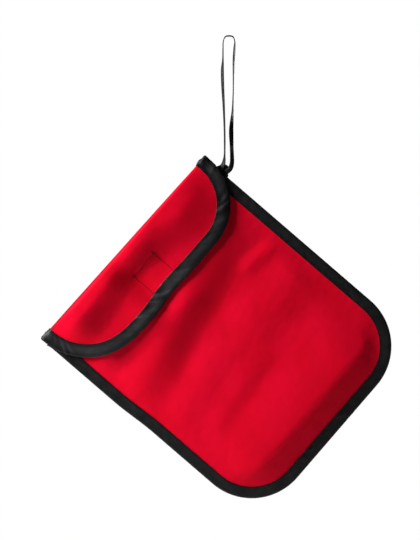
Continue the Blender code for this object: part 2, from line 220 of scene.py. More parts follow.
def build_mesh(name, points, faces, uvs, material, closed=True):
    """Object with smooth faces; its points are in the shared frame and its UVs in metres."""
    mesh = bpy.data.meshes.new(name)
    mesh.from_pydata([tuple(p) for p in points], [], faces)
    layer = mesh.uv_layers.new(name="UVMap")
    corners = np.empty(len(mesh.loops), np.int32)
    mesh.loops.foreach_get("vertex_index", corners)
    layer.data.foreach_set("uv", np.asarray(uvs, np.float32)[corners].ravel())
    if closed:
        edit = bmesh.new()
        edit.from_mesh(mesh)
        bmesh.ops.recalc_face_normals(edit, faces=edit.faces)
        edit.to_mesh(mesh)
        edit.free()
    mesh.shade_smooth()
    mesh.materials.append(material)
    piece = bpy.data.objects.new(name, mesh)
    bpy.context.scene.collection.objects.link(piece)
    return piece


def grid_faces(rows, columns, start=0, wrap=False):
    """Quads of a grid of points; wrap joins its last column to its first."""
    index = start + np.arange(rows * columns).reshape(rows, columns)
    if wrap:
        index = np.concatenate([index, index[:, :1]], axis=1)
    quads = np.stack([index[:-1, :-1], index[:-1, 1:], index[1:, 1:], index[1:, :-1]], -1)
    return quads.reshape(-1, 4).tolist()


def grid_normals(points):
    """Unit normals of a grid of points, as (rows, columns, 3)."""
    down, along = np.gradient(points, axis=0), np.gradient(points, axis=1)
    normals = np.cross(down, along)
    return normals / np.maximum(np.linalg.norm(normals, axis=-1, keepdims=True), 1e-12)


def sheet_between(name, outer, inner, uv, material):
    """Closed sheet between two grids of points in the pouch's frame, joined round the rim."""
    rows, columns = outer.shape[:2]
    count = rows * columns
    faces = grid_faces(rows, columns)
    faces += [face[::-1] for face in grid_faces(rows, columns, start=count)]
    index = np.arange(count).reshape(rows, columns)
    rim = [*index[0], *index[1:, -1], *index[-1, -2::-1], *index[-2:0:-1, 0]]
    for a, b in zip(rim, rim[1:] + rim[:1]):
        faces.append([int(b), int(a), int(a) + count, int(b) + count])
    points = to_world(np.concatenate([outer.reshape(-1, 3), inner.reshape(-1, 3)]))
    uvs = np.concatenate([uv.reshape(-1, 2)] * 2)
    return build_mesh(name, points, faces, uvs, material)


def cloth_piece(name, outer, uv, material, towards, thickness=CLOTH):
    """Closed sheet with its outer face on the grid; towards is a vector out of that face."""
    normals = grid_normals(outer)
    if normals[0, len(normals[0]) // 2] @ np.array(towards) < 0:
        normals = -normals
    return sheet_between(name, outer, outer - thickness * normals, uv, material)


def lofted_piece(name, rings, uv, material, world=False):
    """Closed tube of rings of points, as (rings, points, 3), with its ends capped."""
    count, around = rings.shape[:2]
    faces = grid_faces(count, around, wrap=True)
    faces.append(list(range(around))[::-1])
    faces.append([(count - 1) * around + i for i in range(around)])
    points = rings.reshape(-1, 3)
    if not world:
        points = to_world(points)
    return build_mesh(name, points, faces, uv.reshape(-1, 2), material)


def lengths_along(points):
    """Distance along a path at each of its points, which may carry more columns than x, y, z."""
    steps = np.linalg.norm(np.diff(points[:, :3], axis=0), axis=-1)
    return np.concatenate([[0.0], np.cumsum(steps)])


def respaced(points, step, places=3):
    """The same polyline at an even step; its first columns, as many as places, are its position."""
    points = np.asarray(points, float)
    along = lengths_along(points[:, :places])
    count = max(int(round(along[-1] / step)), 2)
    at = np.linspace(0.0, along[-1], count + 1)
    return np.stack([np.interp(at, along, points[:, i]) for i in range(points.shape[1])], -1)


def smooth_path(points, step):
    """Smooth curve through the points, at an even step."""
    points = np.asarray(points, float)
    padded = np.concatenate([[2 * points[0] - points[1]], points, [2 * points[-1] - points[-2]]])
    pieces = []
    for a, b, c, d in zip(padded, padded[1:], padded[2:], padded[3:]):
        t = np.linspace(0.0, 1.0, 24, endpoint=False)[:, None]
        curve = 2 * b + (c - a) * t + (2 * a - 5 * b + 4 * c - d) * t**2
        pieces.append(0.5 * (curve + (3 * b - a - 3 * c + d) * t**3))
    return respaced(np.concatenate(pieces + [points[-1:]]), step)


def arc(centre, radius, start, end, count=24):
    """Points of a circle, angles in degrees from +x towards +z."""
    angles = np.radians(np.linspace(start, end, count + 1))
    return np.stack([centre[0] + radius * np.cos(angles), centre[1] + radius * np.sin(angles)], -1)


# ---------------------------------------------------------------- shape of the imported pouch


def edge_distance(x, z):
    """Distance in from the pouch's sides and rounded bottom."""
    across = np.abs(x) - (HALF_WIDTH - CORNER_RADIUS)
    down = -z + BOTTOM + CORNER_RADIUS
    corner = CORNER_RADIUS - np.hypot(np.maximum(across, 0), np.maximum(down, 0))
    straight = np.minimum(HALF_WIDTH - np.abs(x), z - BOTTOM)
    return np.where((across > 0) & (down > 0), corner, straight)


def fullness(x):
    """0 at the side seams, 1 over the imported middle."""
    return 1.0 - np.clip(np.abs(x) / FILL_HALF_WIDTH, 0, 1) ** 2.4


def filling(x, z):
    """0 along the taped edge, 1 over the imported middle: a low arch across, steepest at the bottom."""
    up = np.clip((z - BOTTOM - FILL_START) / BOTTOM_RAMP, 0, 1)
    rising = np.sin(up * math.pi / 2) ** 0.85
    in_corner = ease((np.abs(x) - 0.060) / 0.030) * ease((-z - 0.219) / 0.030)
    held_down = ease((edge_distance(x, z) - 0.006) / 0.022)
    return fullness(x) * rising * mix(1.0, held_down, in_corner)


def side_shift(x, z):
    """The far side stands a little further out in its upper part."""
    return -0.0022 * ease((-x - 0.02) / 0.09) * (1.0 - ease((-z - 0.092) / 0.050))


def crease(x, z, start, end, bow, height, above, below, fade=0.03):
    """Soft fold along a bowed line, with its own width above and below, that fades at its ends."""
    start, end = np.array(start), np.array(end)
    length = np.linalg.norm(end - start)
    along = (end - start) / length
    dx, dz = x - start[0], z - start[1]
    t = dx * along[0] + dz * along[1]
    share = np.clip(t / length, 0, 1)
    s = dx * along[1] - dz * along[0] + bow * 4 * share * (1 - share)
    profile = np.where(s > 0, ease(1 - s / below), ease(1 + s / above))
    return height * profile * ease(t / fade) * ease((length - t) / fade)


def front_folds(x, z):
    """Folds of the front panel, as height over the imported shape."""
    folds = sum(crease(x, z, *fold) for fold in FRONT_FOLDS)
    return folds * ease((edge_distance(x, z) - FILL_START) / 0.022)


def small_ripples(x, z, seed):
    """Slight unevenness of cloth, away from the seams."""
    inside = ease((edge_distance(x, z) - FILL_START + 0.002) / 0.012)
    soft = 0.00045 * ripple(x, z, 0.030, seed) + 0.00012 * ripple(x, z * 1.5, 0.009, seed + 7)
    return soft * inside


def edge_puckers(x, z, seed):
    """Short gathers that run in from the taped seam."""
    inset = edge_distance(x, z) - FILL_START
    along = np.where(np.abs(x) > HALF_WIDTH - 0.03, z, x)
    return 0.00022 * ripple(along, 0 * z, 0.006, seed) * bump(inset - 0.004, 0.012)


def front_out(x, z):
    """How far the front panel's outer face stands out, without folds: more over the pull tabs."""
    beside = np.abs(x)
    over_tabs = ease((-z + 0.004) / 0.014) * (1 - ease((-z - 0.046) / 0.022))
    over_tabs = over_tabs * ease((0.098 - beside) / 0.020) * ease((beside - 0.018) / 0.016)
    return EDGE_HALF_GAP + CLOTH + FRONT_RISE * filling(x, z) + TAB_ROOM * over_tabs


def front_face(x, z):
    """Outer face of the front panel, as y."""
    loose = front_folds(x, z) + small_ripples(x, z, 3.0) + edge_puckers(x, z, 11.0)
    return -(front_out(x, z) + loose)


def back_face(x, z):
    """Outer face of the back panel, which meets the roll over the fold at the top."""
    share = filling(x, z)
    packed = EDGE_HALF_GAP + CLOTH + BACK_RISE * share
    packed += small_ripples(x, z, 23.0) + edge_puckers(x, z, 31.0)
    for fold in BACK_FOLDS:
        packed += crease(x, z, *fold) * share
    length = mix(0.009, 0.026, share)
    return mix(roll_back(x), packed, ease((FOLD_AXIS_Z - z) / length))


def side_x(z, half_width, bottom, radius):
    """Half width at a height of an outline whose bottom corner is rounded."""
    rise = np.clip(z - bottom, 0, radius)
    return half_width - radius + np.sqrt(np.maximum(radius**2 - (radius - rise) ** 2, 0))


def panel_grid(top, bottom, half_width, radii):
    """Grids of x and z that fill an outline with rounded bottom corners."""
    rows = int(round((top - bottom) / CLOTH_STEP)) + 1
    columns = int(round(2 * half_width / CLOTH_STEP)) + 1
    z = np.linspace(top, bottom, rows)[:, None] * np.ones(columns)
    left = -side_x(z, half_width, bottom, radii[0])
    right = side_x(z, half_width, bottom, radii[1])
    return mix(left, right, np.linspace(0, 1, columns)), z


# ---------------------------------------------------------------- shape of the flap


def roll_back(x):
    """How far the roll over the fold stands behind the fold's axis."""
    return mix(ROLL_BACK_RADIUS, PACKED_BACK_RADIUS, fullness(x))


def flap_top(x, z):
    """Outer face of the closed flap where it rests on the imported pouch, below the fold."""
    under = np.minimum(z, -0.060)
    gap = mix(FLAP_GAP_MIDDLE, FLAP_GAP_SIDES, ease((np.abs(x) - 0.020) / 0.070))
    lying = front_out(x, under) + front_folds(x, under) + gap
    fall = FLAP_FALL - 0.0012 * ease((x - 0.06) / 0.03)
    for middle, height, half_width in FLAP_SWELLS:
        fall = fall + height * bump(x - middle, half_width)
    aside = ease((np.abs(x) - 0.018) / 0.050)
    crest = mix(-0.0075, -0.0120, aside) - 0.004 * ease((x - 0.03) / 0.03)
    valley = mix(-0.036, -0.042, aside) - 0.012 * ease((x + 0.005) / 0.05)
    held = ease((FLAP_HALF + 0.004 - np.abs(x)) / 0.050)
    return lying + fall * held * ease((z - valley) / (crest - valley))


def roll_front(x):
    """How far the roll stands in front of the fold's axis, so that it meets the flap."""
    return np.maximum(flap_top(x, -0.0075) - 0.0003, ROLL_FRONT_RADIUS)


def flap_out(x, z):
    """How far the closed flap's outer face stands in front of the fold's axis."""
    down = np.clip((FOLD_AXIS_Z - z) / FLAP_RUN_OUT, 0, 1)
    out = mix(roll_front(x), flap_top(x, z), 1.0 - (1.0 - down) ** 2.5)
    patch = ease((0.022 - np.abs(x)) / 0.006) * ease((-z - 0.020) / 0.006)
    out = out - 0.0004 * patch * (1 - ease((-z - 0.046) / 0.010))
    return out + 0.00025 * ripple(x, z, 0.018, 41.0) * down


def flap_surface(x, run, off=0.0):
    """Point of the flap's outer face: run is 0 at the back of the fold, then over it and down."""
    angle = np.clip(run / ROLL_LENGTH, 0, 1) * math.pi
    across = mix(roll_back(x), roll_front(x), ease(angle / math.pi)) + off
    height = ROLL_HEIGHT - FOLD_TILT * x + off
    turn_y, turn_z = np.cos(angle), np.maximum(np.sin(angle), 0.0)
    roll_y = across * np.sign(turn_y) * np.abs(turn_y) ** ROLL_SQUARENESS
    roll_z = FOLD_AXIS_Z + height * turn_z**ROLL_SQUARENESS
    z = FOLD_AXIS_Z - (run - ROLL_LENGTH)
    out = flap_out(x, np.minimum(z, FOLD_AXIS_Z))
    step = 0.0005
    slope_z = (flap_out(x, z + step) - flap_out(x, z - step)) / (2 * step)
    slope_x = (flap_out(x + step, z) - flap_out(x - step, z)) / (2 * step)
    slope_z = slope_z * ease((run - ROLL_LENGTH) / 0.002)
    size = np.sqrt(1 + slope_z**2 + slope_x**2)
    down = np.stack([x - off * slope_x / size, -out - off / size, z - off * slope_z / size], -1)
    over = np.stack([x, roll_y, roll_z], -1)
    before = np.stack([x, roll_back(x) + off, FOLD_AXIS_Z + run], -1)
    placed = np.where((run < ROLL_LENGTH)[..., None], over, down)
    return np.where((run < 0)[..., None], before, placed)


def flap_edge_wave(x):
    """The flap's lower edge isn't quite straight."""
    return -0.0014 * bump(x + 0.038, 0.034) + 0.0012 * bump(x - 0.004, 0.030)


def flap_outline(inset):
    """Path round the flap from the back of the fold, as (x, run), with inward normals."""
    bottom = ROLL_LENGTH + (FOLD_AXIS_Z - FLAP_BOTTOM)
    path, inward = [], []

    def side(x, runs, normal):
        for run in runs:
            path.append((x, run))
            inward.append(normal)

    runs = np.linspace(-0.004, bottom - FLAP_CORNER_LOOP_SIDE, 12)
    side(FLAP_HALF, runs[:-1], (-1.0, 0.0))
    for radius, sign, angles in (
        (FLAP_CORNER_LOOP_SIDE, 1, np.linspace(0, 90, 40)),
        (FLAP_CORNER_FAR_SIDE, -1, np.linspace(90, 0, 40)),
    ):
        for angle in np.radians(angles):
            c, s = math.cos(angle), math.sin(angle)
            path.append((sign * (FLAP_HALF - radius + radius * c), bottom - radius + radius * s))
            inward.append((-sign * c, -s))
    runs = np.linspace(bottom - FLAP_CORNER_FAR_SIDE, -0.004, 12)
    side(-FLAP_HALF, runs[1:], (1.0, 0.0))
    both = respaced(np.concatenate([path, inward], 1), TAPE_STEP, places=2)
    path, inward = both[:, :2], both[:, 2:]
    inward = unit(inward)
    path[:, 1] -= flap_edge_wave(path[:, 0]) * ease((path[:, 1] - 0.04) / 0.02)
    return path + inward * inset, inward


# ---------------------------------------------------------------- node helpers


def new_material(name, colour, roughness, sheen=0.0, specular=0.3):
    """Material with a Principled shader; values that are the same all over sit on its sockets."""
    material = bpy.data.materials.new(name)
    material.use_nodes = True
    shader = material.node_tree.nodes["Principled BSDF"]
    shader.inputs["Base Color"].default_value = (*colour, 1.0)
    shader.inputs["Roughness"].default_value = roughness
    shader.inputs["Specular IOR Level"].default_value = specular
    shader.inputs["Sheen Weight"].default_value = sheen
    shader.inputs["Sheen Roughness"].default_value = 0.45
    return material, material.node_tree, shader


def add_node(tree, kind, inputs=(), **settings):
    """Node with its settings and inputs; an input that is a socket is linked."""
    node = tree.nodes.new(kind)
    for name, value in settings.items():
        setattr(node, name, value)
    for key, value in dict(inputs).items():
        if isinstance(value, bpy.types.NodeSocket):
            tree.links.new(value, node.inputs[key])
        else:
            node.inputs[key].default_value = value
    return node


def arithmetic(tree, operation, *values):
    """Output of a Math node."""
    inputs = dict(enumerate(values))
    return add_node(tree, "ShaderNodeMath", inputs, operation=operation).outputs[0]


def weave_group():
    """Plain weave: over and under threads, from a UV in metres and the threads' spacing."""
    group = bpy.data.node_groups.new("plain weave", "ShaderNodeTree")
    face = group.interface
    face.new_socket("UV", in_out="INPUT", socket_type="NodeSocketVector")
    face.new_socket("Warp spacing", in_out="INPUT", socket_type="NodeSocketFloat")
    face.new_socket("Weft spacing", in_out="INPUT", socket_type="NodeSocketFloat")
    face.new_socket("Height", in_out="OUTPUT", socket_type="NodeSocketFloat")
    face.new_socket("Warp on top", in_out="OUTPUT", socket_type="NodeSocketFloat")
    start = group.nodes.new("NodeGroupInput")
    end = group.nodes.new("NodeGroupOutput")
    split = add_node(group, "ShaderNodeSeparateXYZ", {0: start.outputs["UV"]})
    warp = arithmetic(group, "DIVIDE", split.outputs[0], start.outputs["Warp spacing"])
    weft = arithmetic(group, "DIVIDE", split.outputs[1], start.outputs["Weft spacing"])
    count = arithmetic(
        group, "ADD", arithmetic(group, "FLOOR", warp), arithmetic(group, "FLOOR", weft)
    )
    half = arithmetic(group, "MULTIPLY", count, 0.5)
    parity = arithmetic(group, "MULTIPLY", arithmetic(group, "FRACT", half), 2.0)

    def arch(position):
        turned = arithmetic(group, "MULTIPLY", arithmetic(group, "FRACT", position), math.pi)
        return arithmetic(group, "SINE", turned)

    warp_arch, weft_arch = arch(warp), arch(weft)
    over_warp = arithmetic(
        group, "MULTIPLY", warp_arch, arithmetic(group, "MULTIPLY_ADD", weft_arch, 0.6, 0.4)
    )
    over_weft = arithmetic(
        group, "MULTIPLY", weft_arch, arithmetic(group, "MULTIPLY_ADD", warp_arch, 0.6, 0.4)
    )
    height = add_node(group, "ShaderNodeMix", {0: parity, 2: over_weft, 3: over_warp})
    group.links.new(height.outputs[0], end.inputs["Height"])
    group.links.new(parity, end.inputs["Warp on top"])
    return group


def mixed_colours(tree, share, first, second):
    """The first colour at a share of 0, the second at 1; each may be a socket."""
    node = add_node(tree, "ShaderNodeMix", data_type="RGBA")
    for number, value in ((0, share), (6, first), (7, second)):
        socket = node.inputs[number]
        if isinstance(value, bpy.types.NodeSocket):
            tree.links.new(value, socket)
        elif socket.type == "RGBA":
            socket.default_value = (*value, 1.0)
        else:
            socket.default_value = value
    return node.outputs[2]


def spread(tree, value, low, high, to_low, to_high):
    """Value from one range mapped to another, held at the ends."""
    inputs = {0: value, 1: low, 2: high, 3: to_low, 4: to_high}
    return add_node(tree, "ShaderNodeMapRange", inputs).outputs[0]


def soft_noise(tree, vector, scale, detail=3.0):
    inputs = {"Vector": vector, "Scale": scale, "Detail": detail}
    return add_node(tree, "ShaderNodeTexNoise", inputs).outputs[0]


def finish_surface(tree, shader, colour, rough, height, strength, distance):
    """Gives the shader its colour, its roughness and its bump."""
    inputs = {"Strength": strength, "Distance": distance, "Height": height}
    relief = add_node(tree, "ShaderNodeBump", inputs).outputs[0]
    tree.links.new(colour, shader.inputs["Base Color"])
    tree.links.new(rough, shader.inputs["Roughness"])
    tree.links.new(relief, shader.inputs["Normal"])


def woven(tree, group, warp_spacing, weft_spacing):
    """The weave at its spacings in metres, and the UV that it reads."""
    uv = add_node(tree, "ShaderNodeUVMap", uv_map="UVMap")
    weave = add_node(tree, "ShaderNodeGroup", node_tree=group)
    tree.links.new(uv.outputs[0], weave.inputs["UV"])
    weave.inputs["Warp spacing"].default_value = warp_spacing
    weave.inputs["Weft spacing"].default_value = weft_spacing
    return weave, uv.outputs[0]


# ---------------------------------------------------------------- materials


def red_nylon(weave, name="woven red nylon", fold_shade_to=0.0):
    """Coated pack cloth: fine plain weave, uneven dye, and shade painted dark over the fold's roll, as
    far along as the last argument.
    """
    material, tree, shader = new_material(name, (0.76, 0.001, 0.020), 0.66, specular=0.04)
    woven_node, uv = woven(tree, weave, 0.00050, 0.00056)
    height = woven_node.outputs["Height"]
    place = add_node(tree, "ShaderNodeTexCoord").outputs["Object"]
    dye = spread(tree, soft_noise(tree, place, 26.0), 0.35, 0.65, 0.0, 1.0)
    colour = mixed_colours(tree, dye, (0.74, 0.0008, 0.017), (0.80, 0.0012, 0.024))
    # Painted shade: colour darkened in the weave's hollows between threads
    valley = spread(tree, height, 0.0, 0.45, 0.20, 0.0)
    colour = mixed_colours(tree, valley, colour, (0.42, 0.0005, 0.008))
    rub = spread(tree, soft_noise(tree, place, 140.0, 4.0), 0.60, 0.74, 0.0, 0.16)
    colour = mixed_colours(tree, rub, colour, (0.83, 0.006, 0.040))
    # Painted shade: the cloth over the roll at the fold is coloured dark, easing back to red just before
    # the roll ends
    if fold_shade_to:
        parts = add_node(tree, "ShaderNodeSeparateXYZ", {"Vector": uv})
        painted_fold_shade = spread(tree, parts.outputs["Y"], fold_shade_to - 0.0022, fold_shade_to, 1.0, 0.0)
        colour = mixed_colours(tree, painted_fold_shade, colour, (0.30, 0.0006, 0.008))
    rough = spread(tree, soft_noise(tree, place, 60.0), 0.3, 0.7, 0.56, 0.70)
    crumple = soft_noise(tree, place, 95.0, 4.0)
    relief = arithmetic(tree, "ADD", height, arithmetic(tree, "MULTIPLY", crumple, 1.4))
    finish_surface(tree, shader, colour, rough, relief, 0.35, 0.00012)
    return material


def black_tape(weave, name="black bias tape", ribs=0.0007, across=0.0005, edges=None):
    """Bias binding: close rib weave, greyed on its high spots.

    edges gives the width of the sewn edge, where shade is painted near black, where across the tape its
    folded edge lies, and how strong the painted sheen highlight, a grey band over the middle between
    them, is.
    """
    material, tree, shader = new_material(
        name, (0.003, 0.003, 0.0032), 0.40, sheen=0.01, specular=0.24
    )
    shader.inputs["Sheen Tint"].default_value = (0.75, 0.78, 0.82, 1.0)
    woven_node, uv = woven(tree, weave, ribs, across)
    height = woven_node.outputs["Height"]
    place = add_node(tree, "ShaderNodeTexCoord").outputs["Object"]
    fade = spread(tree, soft_noise(tree, place, 70.0), 0.35, 0.70, 0.0, 1.0)
    colour = mixed_colours(tree, fade, (0.0030, 0.0031, 0.0034), (0.0080, 0.0082, 0.0090))
    # Painted light: near-black shade along the sewn edge and a grey sheen highlight over the tape's
    # middle
    if edges:
        sewn, folded, painted_highlight_share = edges
        parts = add_node(tree, "ShaderNodeSeparateXYZ", {"Vector": uv})
        inside = spread(tree, parts.outputs["Y"], sewn * 0.6, sewn * 1.7, 0.0, 1.0)
        before = spread(tree, parts.outputs["Y"], folded - 0.0042, folded - 0.0014, 1.0, 0.0)
        middle = arithmetic(tree, "MULTIPLY", inside, before)
        light = mixed_colours(tree, fade, (0.012, 0.012, 0.014), (0.026, 0.026, 0.029))
        colour = mixed_colours(tree, arithmetic(tree, "MULTIPLY", middle, painted_highlight_share), colour, light)
        colour = mixed_colours(tree, inside, (0.0008, 0.0008, 0.0009), colour)
    # Lighter grey on the weave's high spots
    high_spot_grey = spread(tree, height, 0.55, 1.0, 0.0, 0.35)
    colour = mixed_colours(tree, high_spot_grey, colour, (0.009, 0.009, 0.010))
    rough = spread(tree, soft_noise(tree, place, 210.0), 0.3, 0.7, 0.36, 0.52)
    crumple = soft_noise(tree, place, 260.0, 3.0)
    relief = arithmetic(tree, "ADD", height, arithmetic(tree, "MULTIPLY", crumple, 1.2))
    finish_surface(tree, shader, colour, rough, relief, 0.55, 0.00014)
    return material


def sewing_thread(name, dark, light):
    """Twisted thread, with the twist as fine slanting bands."""
    material, tree, shader = new_material(name, dark, 0.50, sheen=0.02, specular=0.12)
    place = add_node(tree, "ShaderNodeTexCoord").outputs["Object"]
    turned = add_node(tree, "ShaderNodeMapping", {"Vector": place, "Rotation": (0.3, 0.5, 0.7)})
    twist = add_node(
        tree, "ShaderNodeTexWave", {"Vector": turned.outputs[0], "Scale": 900.0, "Distortion": 1.5}
    )
    colour = mixed_colours(tree, twist.outputs["Fac"], dark, light)
    rough = spread(tree, twist.outputs["Fac"], 0.0, 1.0, 0.38, 0.60)
    finish_surface(tree, shader, colour, rough, twist.outputs["Fac"], 0.5, 0.00008)
    return material


def hook_and_pile(name, dark, light, roughness):
    """Fuzzy pile, or moulded hooks: fine specks of two tones."""
    material, tree, shader = new_material(name, dark, roughness, sheen=0.25, specular=0.3)
    place = add_node(tree, "ShaderNodeTexCoord").outputs["Object"]
    fuzz = spread(tree, soft_noise(tree, place, 900.0, 4.0), 0.3, 0.7, 0.0, 1.0)
    colour = mixed_colours(tree, fuzz, dark, light)
    rough = spread(tree, fuzz, 0.0, 1.0, roughness - 0.08, roughness + 0.1)
    finish_surface(tree, shader, colour, rough, fuzz, 0.5, 0.00015)
    return material


def glass_cloth(weave):
    """Woven glass fibre: creamy white, coarse threads, a soft glint along them."""
    material, tree, shader = new_material(
        "woven glass cloth", (0.78, 0.76, 0.70), 0.55, sheen=0.08, specular=0.45
    )
    woven_node, _ = woven(tree, weave, 0.0011, 0.0012)
    height = woven_node.outputs["Height"]
    place = add_node(tree, "ShaderNodeTexCoord").outputs["Object"]
    tone = spread(tree, soft_noise(tree, place, 30.0), 0.3, 0.7, 0.0, 1.0)
    colour = mixed_colours(tree, tone, (0.74, 0.72, 0.655), (0.82, 0.80, 0.745))
    # Painted shade: colour darkened in the weave's hollows between threads
    valley = spread(tree, height, 0.0, 0.5, 0.45, 0.0)
    colour = mixed_colours(tree, valley, colour, (0.52, 0.50, 0.44))
    rough = spread(tree, woven_node.outputs["Warp on top"], 0.0, 1.0, 0.48, 0.62)
    finish_surface(tree, shader, colour, rough, height, 0.6, 0.00025)
    return material


def make_materials():
    weave = weave_group()
    return {
        "red": red_nylon(weave),
        # Flap cloth with shade painted dark over the roll at the fold
        "flap red, fold shaded": red_nylon(weave, "woven red nylon, painted shade on fold", ROLL_LENGTH - 0.0006),
        # Tapes with painted edge shade and a painted highlight band: faint on the side tape, full on the
        # flap tape
        "tape": black_tape(weave, edges=(0.0020, SIDE_TAPE_WIDTH, 0.15)),
        "flap tape": black_tape(weave, "black flap tape", edges=(0.0026, FLAP_TAPE_WIDTH, 1.0)),
        "webbing": black_tape(weave, "black webbing", 0.0016, 0.0009),
        "ribbon": black_tape(weave, "black ribbon", 0.0004, 0.0004),
        "thread": sewing_thread("black thread", (0.012, 0.012, 0.013), (0.034, 0.034, 0.036)),
        "dark red thread": sewing_thread(
            "dark red thread", (0.030, 0.0006, 0.0012), (0.075, 0.001, 0.003)
        ),
        "pile": hook_and_pile("soft loop pile", (0.010, 0.010, 0.011), (0.040, 0.040, 0.042), 0.8),
        "hooks": hook_and_pile("moulded hooks", (0.012, 0.012, 0.013), (0.030, 0.030, 0.032), 0.42),
        "glass": glass_cloth(weave),
    }


# ---------------------------------------------------------------- Geometry Nodes


def new_tree(name, sizes):
    """Geometry tree with named number inputs, and its start and end nodes."""
    tree = bpy.data.node_groups.new(name, "GeometryNodeTree")
    tree.interface.new_socket("Geometry", in_out="INPUT", socket_type="NodeSocketGeometry")
    for label in sizes:
        tree.interface.new_socket(label, in_out="INPUT", socket_type="NodeSocketFloat")
    tree.interface.new_socket("Material", in_out="INPUT", socket_type="NodeSocketMaterial")
    tree.interface.new_socket("Geometry", in_out="OUTPUT", socket_type="NodeSocketGeometry")
    return tree, tree.nodes.new("NodeGroupInput"), tree.nodes.new("NodeGroupOutput")


def end_tree(tree, start, end, instances):
    """Realised instances, smooth, in the material that was asked for."""
    real = add_node(tree, "GeometryNodeRealizeInstances", {"Geometry": instances})
    smooth = add_node(tree, "GeometryNodeSetShadeSmooth", {"Geometry": real.outputs[0]})
    inputs = {"Geometry": smooth.outputs[0], "Material": start.outputs["Material"]}
    painted = add_node(tree, "GeometryNodeSetMaterial", inputs)
    tree.links.new(painted.outputs[0], end.inputs["Geometry"])


def facing_rotation(tree, along):
    """Rotation with x along the path and z out of the surface, as stored in 'outward'."""
    outward = add_node(
        tree, "GeometryNodeInputNamedAttribute", {"Name": "outward"}, data_type="FLOAT_VECTOR"
    )
    first = add_node(tree, "FunctionNodeAlignRotationToVector", {"Vector": along}, axis="X")
    inputs = {"Rotation": first.outputs[0], "Vector": outward.outputs[0]}
    second = add_node(tree, "FunctionNodeAlignRotationToVector", inputs, axis="Z", pivot_axis="X")
    return second.outputs[0]


def random_vector(tree, low, high, seed):
    inputs = {"Min": low, "Max": high, "Seed": seed}
    node = add_node(tree, "FunctionNodeRandomValue", inputs, data_type="FLOAT_VECTOR")
    return node.outputs[0]


def stitch_tree():
    """A row of stitches along a path of edges that carries 'outward'."""
    tree, start, end = new_tree("row of stitches", ("Spacing", "Length", "Thickness"))
    curve = add_node(tree, "GeometryNodeMeshToCurve", {"Mesh": start.outputs["Geometry"]})
    inputs = {"Curve": curve.outputs[0], "Length": start.outputs["Spacing"]}
    spaced = add_node(tree, "GeometryNodeResampleCurve", inputs, mode="LENGTH")
    tangent = add_node(tree, "GeometryNodeInputTangent").outputs[0]
    rotation = facing_rotation(tree, tangent)
    wobble = random_vector(tree, (-0.03, -0.02, -0.07), (0.03, 0.02, 0.07), 5)
    as_turn = add_node(tree, "FunctionNodeEulerToRotation", {0: wobble}).outputs[0]
    turned = add_node(
        tree, "FunctionNodeRotateRotation", {0: rotation, 1: as_turn}, rotation_space="LOCAL"
    )
    ball = add_node(tree, "GeometryNodeMeshUVSphere", {"Segments": 8, "Rings": 5, "Radius": 0.5})
    size = add_node(
        tree,
        "ShaderNodeCombineXYZ",
        {
            0: start.outputs["Length"],
            1: start.outputs["Thickness"],
            2: start.outputs["Thickness"],
        },
    ).outputs[0]
    vary = random_vector(tree, (0.90, 0.94, 0.94), (1.04, 1.06, 1.06), 9)
    scaled = add_node(tree, "ShaderNodeVectorMath", {0: size, 1: vary}, operation="MULTIPLY")
    placed = add_node(
        tree,
        "GeometryNodeInstanceOnPoints",
        {
            "Points": spaced.outputs[0],
            "Instance": ball.outputs[0],
            "Rotation": turned.outputs[0],
            "Scale": scaled.outputs[0],
        },
    )
    end_tree(tree, start, end, placed.outputs[0])
    return tree


def hook_tree():
    """Small bent hooks on every point of a grid that carries 'outward' and 'lean'."""
    tree, start, end = new_tree("hooks or loops", ("Height", "Thickness", "Reach"))
    foot = add_node(tree, "ShaderNodeCombineXYZ", {2: 0.0}).outputs[0]
    rise = add_node(tree, "ShaderNodeCombineXYZ", {2: start.outputs["Height"]}).outputs[0]
    over = add_node(
        tree,
        "ShaderNodeCombineXYZ",
        {0: start.outputs["Reach"], 2: start.outputs["Height"]},
    ).outputs[0]
    low = arithmetic(tree, "MULTIPLY", start.outputs["Height"], 0.35)
    tip = add_node(tree, "ShaderNodeCombineXYZ", {0: start.outputs["Reach"], 2: low}).outputs[0]
    inputs = {"Resolution": 6, "Start": foot, "Start Handle": rise, "End Handle": over, "End": tip}
    bend = add_node(tree, "GeometryNodeCurvePrimitiveBezierSegment", inputs)
    ring = add_node(
        tree,
        "GeometryNodeCurvePrimitiveCircle",
        {"Resolution": 4, "Radius": start.outputs["Thickness"]},
    )
    inputs = {"Curve": bend.outputs[0], "Profile Curve": ring.outputs[0], "Fill Caps": True}
    hook = add_node(tree, "GeometryNodeCurveToMesh", inputs)
    lean = add_node(
        tree, "GeometryNodeInputNamedAttribute", {"Name": "lean"}, data_type="FLOAT_VECTOR"
    ).outputs[0]
    rotation = facing_rotation(tree, lean)
    vary = random_vector(tree, (0.85, 0.85, 0.85), (1.1, 1.1, 1.1), 13)
    placed = add_node(
        tree,
        "GeometryNodeInstanceOnPoints",
        {
            "Points": start.outputs["Geometry"],
            "Instance": hook.outputs[0],
            "Rotation": rotation,
            "Scale": vary,
        },
    )
    end_tree(tree, start, end, placed.outputs[0])
    return tree


